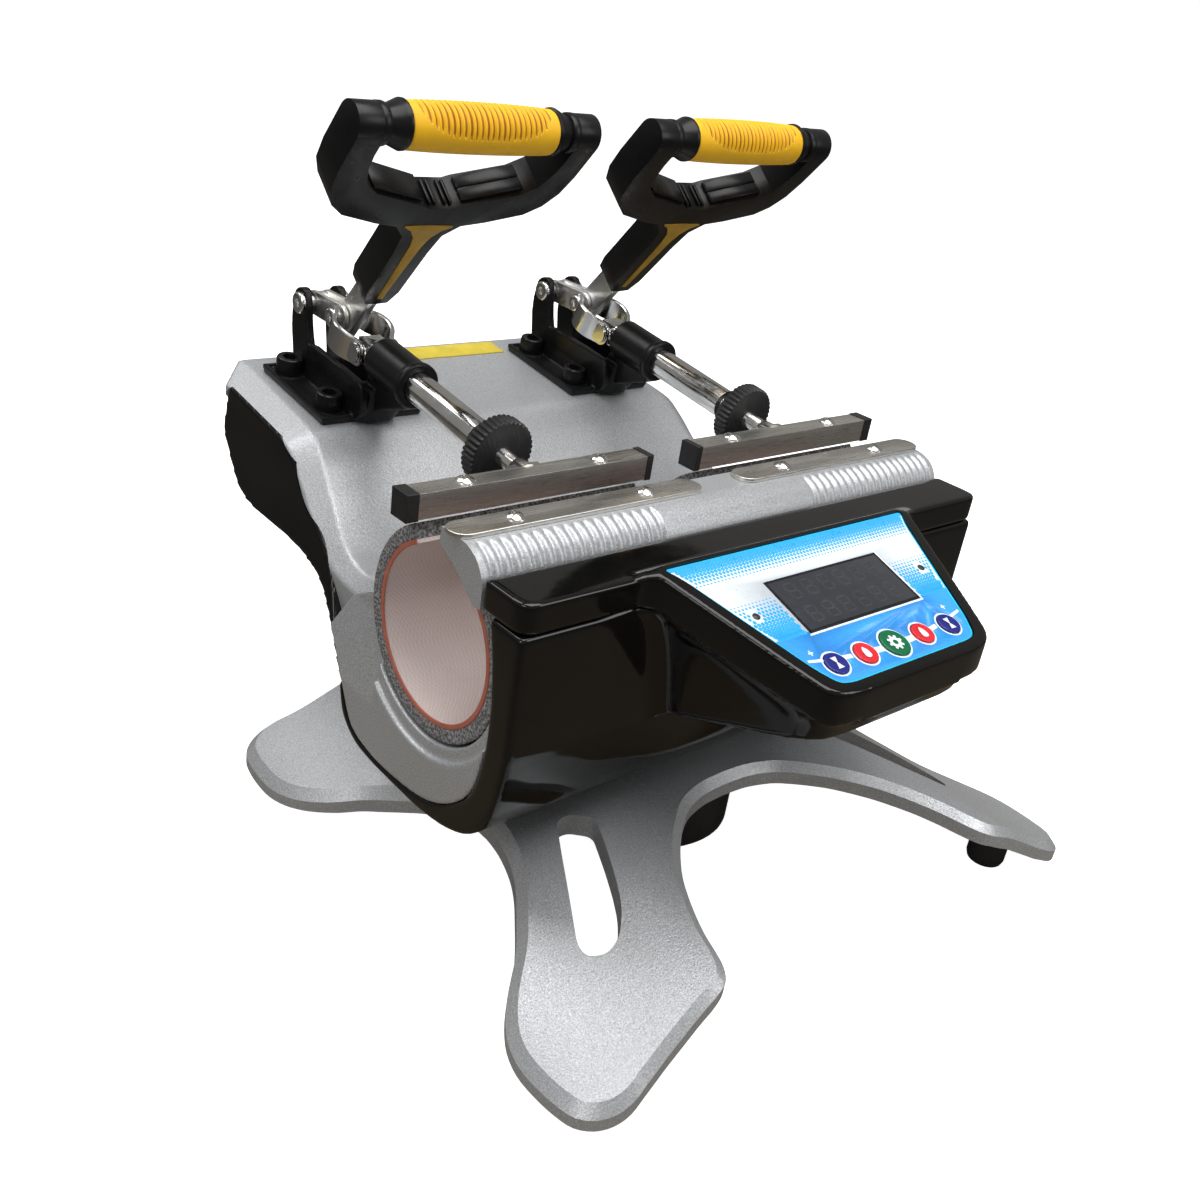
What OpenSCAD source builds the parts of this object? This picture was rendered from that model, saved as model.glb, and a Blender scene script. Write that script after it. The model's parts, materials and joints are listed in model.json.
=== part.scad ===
// Two-station mug heat press: arched foot casting, cradle body, two push-pull clamps and a control console.
// X is the width, Y runs to the back, Z is up. Front of the machine is -Y.

/* [Stations] */
// distance of each mug station from the middle
station_x = 92.7; // [80:0.1:110]
// height of the mug bore above the table
bore_z = 157.4; // [140:0.1:180]
// mug bore position from front to back
bore_y = -43.8; // [-60:0.1:-30]
// radius inside the heater liner
bore_r = 43.9; // [35:0.1:50]
// length of each wrap along X
wrap_len = 142; // [110:1:150]

/* [Clamps] */
// slope of the clamps, down to the front
clamp_tilt = 7.3; // [0:0.1:12]
// rear pivot of the plunger, front to back
plunger_y = 138; // [120:1:150]
// rear pivot of the plunger, height
plunger_z = 237; // [220:1:250]
// plunger rod radius
rod_r = 9; // [6:0.1:12]
// clamp bar length without its end caps
bar_len = 144; // [100:1:150]

/* [Body] */
// half width of the cradle and ridge
body_hw = 168; // [150:1:180]
// height of the underside of the body
body_z0 = 60; // [50:1:80]
// half width of the feet
base_hw = 195; // [170:1:200]
// slope of the console top, in mm of drop per mm
console_drop = 0.314; // [0.1:0.01:0.6]

/* [Hidden] */
$fa = 5;
$fs = 0.9;

silver = [0.66, 0.68, 0.70];
gloss_black = [0.03, 0.03, 0.03];
satin_black = [0.07, 0.07, 0.07];
steel = [0.74, 0.73, 0.70];
chrome = [0.85, 0.85, 0.85];
yellow = [0.98, 0.78, 0.02];
foam_r = 54.2;
liner_t = 2.1;

// clamp points in the clamp's own frame: the plunger's rear pivot is the origin, Y to the back
crank_pin = [63, 4];
lever_pin = [31.6, 7.7];
lever_dir = 34.3;          // lean of the lever forward of the clamp's Z
lever_len = 62;
rod_front = -111;

// ---------- helpers ----------
// a YZ outline swept along X
module yz(x0, x1) { translate([x0, 0, 0]) rotate([90, 0, 90]) linear_extrude(x1 - x0) children(); }
// an XZ outline swept along Y
module xz(y0, y1) { translate([0, y1, 0]) rotate([90, 0, 0]) linear_extrude(y1 - y0) children(); }
// a rod along X
module xrod(r, x0, x1, y = 0, z = 0) { translate([x0, y, z]) rotate([0, 90, 0]) cylinder(r = r, h = x1 - x0); }
// a rod along Y
module yrod(r, y0, y1, z = 0, r2 = -1) {
    translate([0, y1, z]) rotate([90, 0, 0]) cylinder(r1 = r, r2 = r2 < 0 ? r : r2, h = y1 - y0);
}
module at_clamp(s) { translate([s * station_x, plunger_y, plunger_z]) rotate([clamp_tilt, 0, 0]) children(); }

// ---------- base ----------
function arch_top() = [[base_hw + 2, 17.5], [196, 18.5], [183, 21.5], [170, 26], [155, 32.5], [140, 40.5],
    [125, 48.5], [109, 55], [90, 58], [60, 59.5], [0, 60]];
module arch_half() {
    polygon(concat(arch_top(), [[-1, 60], [-1, 47], [60, 47], [90, 45], [109, 42], [125, 35.5], [140, 27.5],
        [155, 19.5], [170, 13.5], [183, 10], [196, 7.5], [base_hw + 2, 7]]));
}
// plan outline of one leg quadrant: x to the side, y to the front of the hub
module leg_quadrant() {
    difference() {
        polygon([[-1, 48.1], [0, 48.1], [9.6, 48.5], [17, 49.2], [26.4, 51.5], [35.4, 54.8], [46.7, 62.4],
            [59.7, 73.5], [68.8, 83.1], [78, 94.6], [85.2, 106.7], [91, 118.3], [95.8, 129.9], [98.8, 139.7],
            [102.1, 148.4], [106.7, 154.6], [113.7, 157.4], [123.2, 158.9], [134.2, 160.5], [146.5, 162.3],
            [158.7, 164.6], [167.7, 166.5], [176.6, 165.8], [184.5, 161.8], [190.3, 154.8], [192.9, 144.9],
            [194.1, 132.2], [193.7, 118.2], [190.1, 105.8], [184, 95.4], [176.1, 85.7], [167.9, 77.6],
            [162.1, 71.9], [155.9, 64.1], [147.3, 51.5], [141.5, 42.6], [136.6, 32.8], [133.3, 23.4],
            [130.7, 12.9], [129.5, 4.3], [129.1, -1], [-1, -1]]);
        // slot along the leg
        polygon([[89, 38], [98, 27], [106, 27], [116, 44], [128, 66], [142, 92], [143, 100], [136, 107],
            [127, 104], [116, 92], [102, 66]]);
    }
}
module base_plan() {
    translate([0, -61]) for (a = [0, 1], b = [0, 1]) mirror([a, 0]) mirror([0, 1 - b]) leg_quadrant();
    translate([0, -50]) circle(r = 54);
}
module base_casting() color(silver) difference() {
    union() {
        intersection() {
            translate([0, 0, 2]) linear_extrude(70) offset(r = 2) offset(delta = -2) base_plan();
            xz(-240, 140) union() { arch_half(); mirror([1, 0]) arch_half(); }
        }
        // pads that seat the feet level
        for (p = foot_at) translate([p[0], p[1], 16]) cylinder(r = 12.6, h = 10);
    }
    for (p = foot_at) translate([p[0], p[1], -1]) cylinder(r = 12.6, h = 18);
}
foot_at = [[156, -195], [-156, -195], [156, 73], [-156, 73]];
module rubber_feet() color(satin_black) for (p = foot_at) translate([p[0], p[1], 0]) difference() {
    union() { cylinder(r1 = 10.5, r2 = 11.5, h = 3); translate([0, 0, 3]) cylinder(r = 11.5, h = 14); }
    translate([0, 0, -1]) cylinder(r = 5.5, h = 10);
    cylinder(r = 2.55, h = 20);
}
module foot_screws() color(chrome) for (p = foot_at) translate([p[0], p[1], 0]) difference() {
    union() { translate([0, 0, 6]) cylinder(r = 4.8, h = 3); translate([0, 0, 8]) cylinder(r = 2.5, h = 9); }
    translate([0, 0, 5]) cylinder(r = 1.6, h = 2.6, $fn = 6);
}
module hub_cover() color(satin_black) translate([0, -50, 0]) difference() {
    union() { translate([0, 0, 5]) cylinder(r1 = 46, r2 = 50, h = 4); translate([0, 0, 9]) cylinder(r = 50, h = 38); }
    translate([0, 0, 9]) cylinder(r = 46, h = 50);
}
module body_bolts() color(steel) for (x = [-26, 26], y = [-76, -24]) translate([x, y, 41]) difference() {
    cylinder(r = 6.5, h = 6);
    translate([0, 0, -1]) cylinder(r = 3, h = 4, $fn = 6);
}

// ---------- body ----------
module body_front_view() {
    polygon([[-body_hw, body_z0 - 1], [body_hw, body_z0 - 1], [body_hw, 94], [163, 118], [158, 136], [153, 156],
        [151, 176], [148, 188], [146, 197], [136, 208], [136, 230], [-136, 230], [-136, 208], [-146, 197], [-148, 188], [-151, 176],
        [-153, 156], [-158, 136], [-163, 118], [-body_hw, 94]]);
}
j_outer = [[30, 93.5], [17, 72], [-2, 66], [-24, 65.4], [-52, 69], [-69.8, 76.5], [-84, 88], [-91.4, 99],
    [-96, 116], [-98, 142], [-95, 170], [-90.5, 190.5]];
module body_side_view() {
    polygon(concat([[133, 196.3], [227.5, 208.2], [227, 200], [222, 188], [206, 166], [186, 148], [170, 141],
        [104, 139], [75, 133], [54, 118], [38, 98]], j_outer,
        [[-79, 190.5], [-68, 198.5], [-60, 150], [-20, 130], [12, 150], [24, 151], [42, 147], [60, 150],
        [80, 160], [98, 173], [115, 187]]));
}
module panel_side_view() {
    polygon([[206, 198], [141, 189.6], [121, 182], [104, 165], [84, 154], [69, 143], [56, 128], [43, 108],
        [33, 94], [38, 98], [54, 118], [75, 133], [104, 139], [170, 141], [186, 148], [206, 166], [221, 187]]);
}
module bore_cut(r = 55) { xrod(r, -200, 200, bore_y, bore_z); }
module rear_housing() color(silver) difference() {
    intersection() {
        yz(-156, 156) body_side_view();
        xz(-120, 240) body_front_view();
    }
    bore_cut();
    // hollow behind the sloping face
    yz(-126, 126) polygon([[135, 190], [221, 200], [216, 188], [202, 171], [183, 154], [168, 147], [104, 145],
        [84, 141], [82, 150], [101, 167], [119, 182]]);
    // side panel rebates
    for (s = [-1, 1]) intersection() {
        translate([s * 160, 0, 0]) yz(-16, 16) panel_side_view();
        translate([s * 165, 60, 150]) cube([36, 400, 200], center = true);
    }
    // rear holes for the inlet and the switch
    on_rear(60) translate([-14, -10, -14]) cube([28, 20, 20]);
    on_rear(108) translate([-10.8, -9.6, -14]) cube([21.6, 19.2, 20]);
}
module side_panel(s) color(gloss_black) intersection() {
    translate([s * 160, 0, 0]) yz(-12.7, 16) panel_side_view();
    xz(-120, 240) body_front_view();
    translate([s * 165, 60, 150]) cube([35.4, 400, 200], center = true);
}
module side_panel_left() side_panel(-1);
module side_panel_right() side_panel(1);
// J-shaped trim with a stepped recess round the wrap
module end_frame(s) color(silver) difference() {
    translate([s * 162, 0, 0]) yz(-6, 6) difference() {
        polygon(concat([[47.3, 116], [41.3, 107]], j_outer,
            [[-79, 190.5], [-68, 198], [-60, 150], [-20, 130], [20, 150], [38, 140]]));
        translate([bore_y, bore_z]) circle(r = 56);
    }
    xrod(63, s > 0 ? 165 : -170, s > 0 ? 170 : -165, bore_y, bore_z);
    intersection() { xrod(90, s > 0 ? 160 : -170, s > 0 ? 170 : -160, bore_y, bore_z);
        xz(-130, 80) polygon([[s * 200, 200], [s * 168.2, 200], [s * 168.2, 94], [s * 163, 118], [s * 157.5, 140],
            [s * 157, 200], [s * 200, 201]]); translate([0, 50, 100]) cube([400, 100, 200], center = true); }
}
module end_frame_left() end_frame(-1);
module end_frame_right() end_frame(1);
module console_plan(inset = 0) {
    polygon([[-97 + inset, -112], [-92 + inset, -120], [-66 + inset, -188], [-60 + inset, -199 + inset],
        [-50 + inset, -206 + inset], [50 - inset, -206 + inset], [60 - inset, -199 + inset],
        [66 - inset, -188], [92 - inset, -120], [97 - inset, -112]]);
}
// slanted slab: the console's top surface lies at top mm above its plane
module console_slab(top, thick) {
    yz(-110, 110) polygon([[-100, con_z(-100) + top], [-100, con_z(-100) + top - thick],
        [-212, con_z(-212) + top - thick], [-212, con_z(-212) + top]]);
}
function con_z(y) = 210 - console_drop * (-114 - y);
module lower_shell() color(gloss_black) {
    difference() {
        yz(-body_hw, body_hw) polygon(concat([[33, 90], [27, 72], [14, 62], [0, body_z0], [-55, body_z0], [-77, 64],
            [-93, 71], [-106, 84], [-113, 100], [-115, 118], [-115, 192], [-90.5, 192]],
            [for (i = [len(j_outer) - 1:-1:0]) j_outer[i] + [i > 5 ? -0.05 : 0, i <= 5 ? -0.05 : 0]]));
        bore_cut(54.5);
        // inside of the belly where the console opens into it
        translate([-60, -113, 120]) cube([120, 10, 60]);
    }
    difference() {
        hull() {
            intersection() { console_slab(-18.7, 3); linear_extrude(300) console_plan(2); }
            yz(-52, 52) polygon([[-114, 140], [-180, 143], [-186, 150], [-114, 170]]);
            yz(-70, 70) polygon([[-114.9, 98], [-116, 98], [-114.9, 120]]);
        }
        translate([-50, -170, 150]) cube([100, 66, 100]);
    }
}
module front_cover() color(gloss_black) difference() {
    union() {
        yz(-body_hw, body_hw) polygon([[-84.3, 192.2], [-115.2, 192.2], [-115.2, 204.5], [-112, 207], [-84.3, 207]]);
        intersection() { console_slab(1.2, 19); linear_extrude(300) console_plan(); }
    }
    // recess for the overlay, and the room below it
    intersection() { console_slab(6, 7.1); linear_extrude(300) panel_plan(0.3); }
    translate([-50, -178, 150]) cube([100, 66, 100]);
    bore_cut(54.5);
    for (x = button_x) on_console(x, button_y) translate([0, 0, -12]) cylinder(r = button_r(x) + 0.3, h = 20);
}
module panel_plan(g = 0) {
    offset(r = 6 + g) polygon([[-84, -120], [-79, -123], [-52, -187], [-46, -194], [46, -194], [52, -187],
        [79, -123], [84, -120]]);
}
// a point on the console top, Z square to it
module on_console(x, y, up = 0) {
    translate([x, y, con_z(y)]) rotate([atan(console_drop), 0, 0]) translate([0, 0, up]) children();
}
button_x = [-44.2, -23, -1, 21, 42.6];
button_y = -188.6;
function button_r(x) = abs(x) < 5 ? 8.2 : 6.4;
module control_panel() color([0.25, 0.66, 1.0]) difference() {
    intersection() { console_slab(0.5, 1.5); linear_extrude(300) panel_plan(); }
    on_console(0, -153.2) translate([-42.3, -17.6, -3]) cube([84.6, 35.2, 6]);
    for (x = button_x) on_console(x, button_y) translate([0, 0, -3]) cylinder(r = button_r(x) + 0.3, h = 6);
    for (s = [-1, 1]) on_console(s * 63, -153) translate([0, 0, -3]) cylinder(r = 2.05, h = 6);
}
module display_window() color([0.06, 0.06, 0.07])
    on_console(0, -153.2) translate([-42.2, -17.5, -2]) cube([84.4, 35, 2.8]);
module indicator_lights() color([0.05, 0.05, 0.05]) for (s = [-1, 1]) on_console(s * 63, -153) {
    translate([0, 0, -1]) cylinder(r = 2, h = 1.4);
    translate([0, 0, 0.4]) intersection() { cylinder(r = 2, h = 1); translate([0, 0, -3.2]) sphere(r = 4.1); }
}
module control_board() color([0.05, 0.3, 0.14]) {
    on_console(0, -150, -9) translate([-48, -30, 0]) cube([96, 56, 1.6]);
    on_console(0, -153, -7.4) translate([-30, -12, 0]) cube([60, 24, 5]);
    for (x = [-44, 44]) on_console(x, -128, -7.4) translate([-3, -3, 0]) cube([6, 6, 6.2]);
}
// push button: cap, and a stem that runs down to the board
module button(i, c) color(c) on_console(button_x[i], button_y) difference() {
    translate([0, 0, -3.5]) cylinder(r = button_r(button_x[i]), h = 5);
    translate([0, 0, 6.2]) sphere(r = 5.2);
}
module button_1() button(0, [0.12, 0.13, 0.42]);
module button_2() button(1, [0.86, 0.12, 0.14]);
module button_3() button(2, [0.05, 0.42, 0.2]);
module button_4() button(3, [0.86, 0.12, 0.14]);
module button_5() button(4, [0.12, 0.13, 0.42]);
module ridge_cap() color(silver) {
    difference() {
        yz(-body_hw, body_hw) polygon([[-49, 218], [-69, 218], [-74, 216.6], [-79, 212.8], [-82.5, 207.6],
            [-84, 201], [-84, 190.8], [-79, 190.8], [-68, 199], [-58.5, 205], [-50.6, 208.4], [-49, 210]]);
        bore_cut(54.5);
        // rib zones: shallow grooves across the ridge
        for (s = [-1, 1], i = [0:16]) translate([s * (58 + i * 6.1), 0, 0])
            yz(-1.4, 1.4) polygon([[-70.5, 219], [-70.5, 216.9], [-73.6, 216], [-78.2, 212.4], [-81.6, 207.2],
                [-83.1, 201], [-83.1, 199], [-90, 199], [-90, 219]]);
    }
}
strip_y = -58.7;
strip_hl = 70;
module strip(s) color(steel) translate([s * station_x, strip_y, 218]) difference() {
    union() {
        translate([-strip_hl, -8, 0]) cube([2 * strip_hl, 16, 2.4]);
        for (k = [-1, 1]) translate([k * strip_hl, 0, 0]) cylinder(r = 8, h = 2.4);
    }
    for (k = [-1, 1]) translate([k * 41, 0, -1]) cylinder(r = 2.55, h = 5);
}
module strip_left() strip(-1);
module strip_right() strip(1);
module pan_screw(len) {
    difference() {
        union() {
            intersection() { cylinder(r = 5.2, h = 3); translate([0, 0, -4.2]) sphere(r = 7); }
            translate([0, 0, -len]) cylinder(r = 2.5, h = len + 0.5);
        }
        translate([-2.4, -0.5, 1.5]) cube([4.8, 1, 3]);
        translate([-0.5, -2.4, 1.5]) cube([1, 4.8, 3]);
    }
}
module strip_screws() color(chrome) for (s = [-1, 1], k = [-1, 1])
    translate([s * station_x + k * 41, strip_y, 220.4]) pan_screw(2.3);
module label_plate() color(yellow) translate([0, 205, shelf_z(205)]) rotate([shelf_a, 0, 0])
    translate([-26, 0, 0]) cube([80, 17, 0.7]);
shelf_a = atan2(208.2 - 196.3, 227.5 - 133);
function shelf_z(y) = 196.3 + (y - 133) * tan(shelf_a);
// a point on the housing's lower rear wall, Z square to it
module on_rear(x) { translate([x, 196, 157]) rotate([-138, 0, 0]) children(); }
module power_inlet() color(satin_black) on_rear(60) difference() {
    union() {
        translate([-17, -12, 0]) cube([34, 24, 2]);
        translate([-13.7, -9.7, -16]) cube([27.4, 19.4, 17]);
    }
    translate([-12, -7.7, -12]) cube([24, 15.4, 20]);
}
module power_switch() color([0.6, 0.05, 0.05]) on_rear(108) rotate([-8, 0, 0]) {
    yz(-10.4, 10.4) polygon([[-8, -4], [8, -4], [8, 3.2], [4, 2.1], [0, 1.8], [-4, 2.1], [-8, 3.2]]);
    xrod(1.5, -10.7, 10.7);
}

// ---------- wraps ----------
module ring_sector(r0, r1, a0, a1) {
    difference() {
        circle(r = r1, $fn = 120);
        circle(r = r0, $fn = 120);
        polygon([[0, 0], for (i = [0:6]) 90 * [cos(a0 + (a1 - a0) * i / 6), sin(a0 + (a1 - a0) * i / 6)]]);
    }
}
module wrap_foam(s) color([0.3, 0.3, 0.3])
    translate([0, bore_y, bore_z]) yz(s * station_x - wrap_len / 2, s * station_x + wrap_len / 2)
        ring_sector(bore_r + liner_t, foam_r, 64, 136);
module wrap_foam_left() wrap_foam(-1);
module wrap_foam_right() wrap_foam(1);
module wrap_liner(s) color([0.93, 0.80, 0.79])
    translate([0, bore_y, bore_z]) yz(s * station_x - wrap_len / 2 + 0.5, s * station_x + wrap_len / 2 - 0.5)
        ring_sector(bore_r, bore_r + liner_t, 66, 100);
module wrap_liner_left() wrap_liner(-1);
module wrap_liner_right() wrap_liner(1);

// ---------- clamps ----------
module ear_outline() {
    polygon([[20, -38], [66, -38], [69, -26], [72, -14], [73, 0], [71, 8], [66, 12.6], [60, 12.6], [56, 8],
        [54.5, 0], [52, -9], [45, -18], [34, -23], [20, -26]]);
}
module clamp_base(s) color(satin_black) at_clamp(s) difference() {
    union() {
        translate([-33.7, -9, -39.7]) cube([67.4, 75, 2.7]);
        // raised rim
        difference() {
            translate([-33.7, -9, -38]) cube([67.4, 75, 3]);
            translate([-31, -6.3, -39]) cube([62, 69.6, 8]);
        }
        // cheeks, horns and the saddle below the tube
        for (k = [-1, 1]) translate([k * 11.5, 0, 0]) yz(-2.5, 2.5) ear_outline();
        for (k = [-1, 1]) translate([k * 11.2, 0, 0]) yz(-2.8, 2.8)
            polygon([[-16, -38], [49, -38], [49, -17], [17, -14.8], [-10, -14.5], [-16, -20]]);
        yz(-8.5, 8.5) polygon([[-7, -38], [16, -38], [6, -20], [-7, -8]]);
        yz(-6, 6) polygon([[-8, -38], [-8, -8], [-46, -8], [-44, -13], [-14, -24]]);
        yrod(12.7, -49, -10.6);
        yrod(13.6, -49, -45);
        for (x = [-22, 22], y = [6, 55]) translate([x, y, -38]) cylinder(r = 9.6, h = 1.6);
    }
    yrod(rod_r + 0.05, -60, 10);
    xrod(4.05, -20, 20, crank_pin[0], crank_pin[1]);
    for (x = [-22, 22], y = [6, 55]) translate([x, y, -45]) cylinder(r = 5.05, h = 12);
}
module clamp_base_left() clamp_base(-1);
module clamp_base_right() clamp_base(1);
module clamp_bolts(s) color(satin_black) at_clamp(s) for (x = [-22, 22], y = [6, 55]) translate([x, y, 0]) difference() {
    union() { translate([0, 0, -36.4]) cylinder(r = 8, h = 10); translate([0, 0, -39.6]) cylinder(r = 5, h = 4.6); }
    translate([0, 0, -31.4]) cylinder(r = 4.6, h = 6, $fn = 6);
}
module clamp_bolts_left() clamp_bolts(-1);
module clamp_bolts_right() clamp_bolts(1);
module pivot_pin(s) color(chrome) at_clamp(s) {
    xrod(4, -16, 16, crank_pin[0], crank_pin[1]);
    for (k = [-1, 1]) xrod(6.6, k > 0 ? 14 : -16.6, k > 0 ? 16.6 : -14, crank_pin[0], crank_pin[1]);
}
module pivot_pin_left() pivot_pin(-1);
module pivot_pin_right() pivot_pin(1);
module lever(s) color(chrome) at_clamp(s) {
    difference() {
        union() {
            for (k = [-1, 1]) translate([k * 4.6, 0, 0]) yz(-1.5, 1.5) crank_outline();
            xrod(7, -6.1, 6.1, crank_pin[0], crank_pin[1]);
        }
        xrod(4.05, -20, 20, crank_pin[0], crank_pin[1]);
    }
    at_lever() translate([-3.1, -8, -6]) cube([6.2, 15, lever_len + 6]);
    xrod(3.5, -12.6, 12.6, lever_pin[0], lever_pin[1]);
    for (k = [-1, 1]) xrod(5.6, k > 0 ? 10.4 : -12.8, k > 0 ? 12.8 : -10.4, lever_pin[0], lever_pin[1]);
}
module at_lever() { translate([0, lever_pin[0], lever_pin[1]]) rotate([lever_dir, 0, 0]) children(); }
module crank_outline() {
    difference() {
        union() {
            translate(crank_pin) circle(r = 7.5);
            translate(lever_pin) circle(r = 8);
            polygon([crank_pin + [0.9, 7.4], lever_pin + [0.9, 7.9], lever_pin - [0.9, 7.9], crank_pin - [0.9, 7.4]]);
        }
        translate(crank_pin) circle(r = 4.05);
    }
}
module lever_left() lever(-1);
module lever_right() lever(1);
// two bulging bands that form a ring round the lever
module ring_link(s) color(chrome) at_clamp(s) {
    difference() {
        union() {
            for (k = [-1, 1]) translate([0, 0, 0]) band(k);
            for (k = [-1, 1]) xrod(6.6, k > 0 ? 7.2 : -10, k > 0 ? 10 : -7.2, lever_pin[0], lever_pin[1]);
            for (k = [-1, 1]) xrod(8, k > 0 ? 9.3 : -12, k > 0 ? 12 : -9.3, 0, 0);
        }
        xrod(3.56, -30, 30, lever_pin[0], lever_pin[1]);
        xrod(5, -30, 30, 0, 0);
        // flats for the pin heads
        for (k = [-1, 1]) {
            xrod(6, k > 0 ? 10.05 : -30, k > 0 ? 30 : -10.05, lever_pin[0], lever_pin[1]);
            xrod(9.2, k > 0 ? 12 : -30, k > 0 ? 30 : -12, 0, 0);
        }
    }
}
module band(k) {
    // plan outline of the band, then its height, tilted with the link
    rotate([atan2(lever_pin[1], lever_pin[0]), 0, 0]) translate([0, 0, -9]) linear_extrude(17) difference() {
        intersection() {
            translate([0, 15]) scale([1, 1.24]) circle(r = 18.4, $fn = 64);
            translate([k * 30, 15]) square([60, 50], center = true);
        }
        translate([0, 15]) scale([1, 1.26]) circle(r = 15.6, $fn = 64);
        translate([0, 41]) square([2 * 7.1, 20], center = true);
        translate([0, -10]) square([2 * 9.2, 20], center = true);
        translate([-40, 33.4]) square([80, 20]);
        translate([-40, -24.6]) square([80, 20]);
    }
}
module ring_left() ring_link(-1);
module ring_right() ring_link(1);
module handle(s) color(satin_black) at_clamp(s) at_lever() difference() {
    union() {
        // loop, in the plane of X and the lever
        translate([0, 8, 0]) rotate([90, 0, 0]) linear_extrude(19.6) offset(r = 4) offset(delta = -4)
            polygon([[-14, 100], [-30, 107], [-50, 114], [-64, 122], [-69, 134], [-71.2, 150], [-71.2, 172],
                [-65, 180], [-60, 180], [-56, 174], [-56, 160], [-50, 137], [-43, 129], [-10, 119], [-6, 113],
                [6, 113], [10, 119], [43, 129], [50, 137], [56, 160], [56, 174], [60, 180], [65, 180],
                [71.2, 172], [71.2, 150], [69, 134], [64, 122], [50, 114], [30, 107], [14, 100]]);
        // stem
        translate([0, 8, 0]) rotate([90, 0, 0]) linear_extrude(19.6)
            polygon([[-7, 26], [7, 26], [10.5, 40], [12, 92], [20, 106], [-20, 106], [-12, 92], [-10.5, 40]]);
        // ferrules either side of the grip
        for (k = [-1, 1]) xrod(11, k > 0 ? 43.8 : -59, k > 0 ? 59 : -43.8, -2.2, 168.4);
        xrod(5, -50, 50, -2.2, 168.4);
    }
    translate([-3.15, -8.05, 10]) cube([6.3, 15.1, lever_len - 9.9]);
}
module handle_left() handle(-1);
module handle_right() handle(1);
module grip(s) color(yellow) at_clamp(s) at_lever() difference() {
    union() {
        translate([-43.6, -2.2, 168.4]) rotate([0, 90, 0]) cylinder(r1 = 11.2, r2 = 12.2, h = 43.6);
        translate([0, -2.2, 168.4]) rotate([0, 90, 0]) cylinder(r1 = 12.2, r2 = 11.2, h = 43.6);
    }
    xrod(5.05, -60, 60, -2.2, 168.4);
}
module grip_left() grip(-1);
module grip_right() grip(1);
module inlay(s) color([0.8, 0.6, 0.08]) at_clamp(s) at_lever() translate([0, -11.7, 0]) rotate([90, 0, 0])
    linear_extrude(1) polygon([[-1.5, 36], [1.5, 36], [5, 94], [12, 103], [-12, 103], [-5, 94]]);
module inlay_left() inlay(-1);
module inlay_right() inlay(1);
module plunger(s) color(chrome) at_clamp(s) difference() {
    union() {
        yrod(rod_r, rod_front, -5);
        translate([-7, -6.6, -7]) cube([14, 12.6, 14]);
        xrod(2.5, -14, 14, 0, 0);
        for (k = [-1, 1]) xrod(6.2, k > 0 ? 12.4 : -14.2, k > 0 ? 14.2 : -12.4, 0, 0);
        yrod(5, rod_front - 34, rod_front + 1);
    }
    translate([-8, -20, 9]) cube([16, 30, 10]);
}
module plunger_left() plunger(-1);
module plunger_right() plunger(1);
module knob(s) color(satin_black) at_clamp(s) difference() {
    union() {
        yrod(20, -131.5, -121.5);
        yrod(15, -121.6, -117, 0, 11);
        for (i = [0:35]) rotate([0, i * 10, 0]) translate([20, -126.5, 0]) cube([1.8, 10, 1.6], center = true);
    }
    yrod(5.05, -150, -100);
}
module knob_left() knob(-1);
module knob_right() knob(1);
// ---------- clamp bars ----------
bar_y = -152.6;            // rear face of the bar tube in the clamp's frame
module at_bar(s) { at_clamp(s) translate([0, bar_y, 0]) rotate([-clamp_tilt, 0, 0]) children(); }
module bar(s) color(steel) at_bar(s) difference() {
    union() {
        translate([-bar_len / 2, -12.4, -7.6]) cube([bar_len, 12.4, 13.4]);
        // boss for the plunger's end
        translate([-10, -3, -6.2]) cube([20, 8, 11]);
        yrod(6.3, -1, 8, 0.4);
        // folded tab that pulls the wrap
        translate([-bar_len / 2 + 6, -1.2, -11.4]) cube([bar_len - 12, 1.2, 5]);
    }
    translate([-bar_len / 2 - 1, -11, -6.2]) cube([bar_len + 2, 9.6, 10.6]);
    for (k = [-1, 1]) translate([k * 42.3, -6.2, 3]) cylinder(r = 2.55, h = 5);
}
module bar_left() bar(-1);
module bar_right() bar(1);
module bar_caps(s) color(satin_black) at_bar(s) for (k = [-1, 1]) scale([k, 1, 1]) {
    translate([bar_len / 2, -12.9, -8.1]) cube([k * s > 0 ? 7 : 4, 13.4, 14.4]);
    translate([bar_len / 2 - 5, -10.9, -6.1]) cube([5.5, 9.4, 10.4]);
}
module bar_caps_left() bar_caps(-1);
module bar_caps_right() bar_caps(1);
module bar_screws(s) color(chrome) at_bar(s) for (k = [-1, 1]) translate([k * 42.3, -6.2, 5.8]) pan_screw(3);
module bar_screws_left() bar_screws(-1);
module bar_screws_right() bar_screws(1);

base_casting();
rubber_feet();
foot_screws();
hub_cover();
body_bolts();
rear_housing();
end_frame_left();
end_frame_right();
side_panel_left();
side_panel_right();
lower_shell();
front_cover();
ridge_cap();
strip_left();
strip_right();
strip_screws();
control_panel();
display_window();
indicator_lights();
control_board();
button_1();
button_2();
button_3();
button_4();
button_5();
label_plate();
power_inlet();
power_switch();
clamp_base_left();
clamp_base_right();
clamp_bolts_left();
clamp_bolts_right();
pivot_pin_left();
pivot_pin_right();
lever_left();
lever_right();
handle_left();
handle_right();
grip_left();
grip_right();
inlay_left();
inlay_right();
ring_left();
ring_right();
plunger_left();
plunger_right();
knob_left();
knob_right();
bar_left();
bar_right();
bar_caps_left();
bar_caps_right();
bar_screws_left();
bar_screws_right();
wrap_foam_left();
wrap_foam_right();
wrap_liner_left();
wrap_liner_right();
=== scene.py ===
import bpy, bmesh, json, math
from mathutils.geometry import delaunay_2d_cdt
from mathutils import Vector, Matrix

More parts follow.
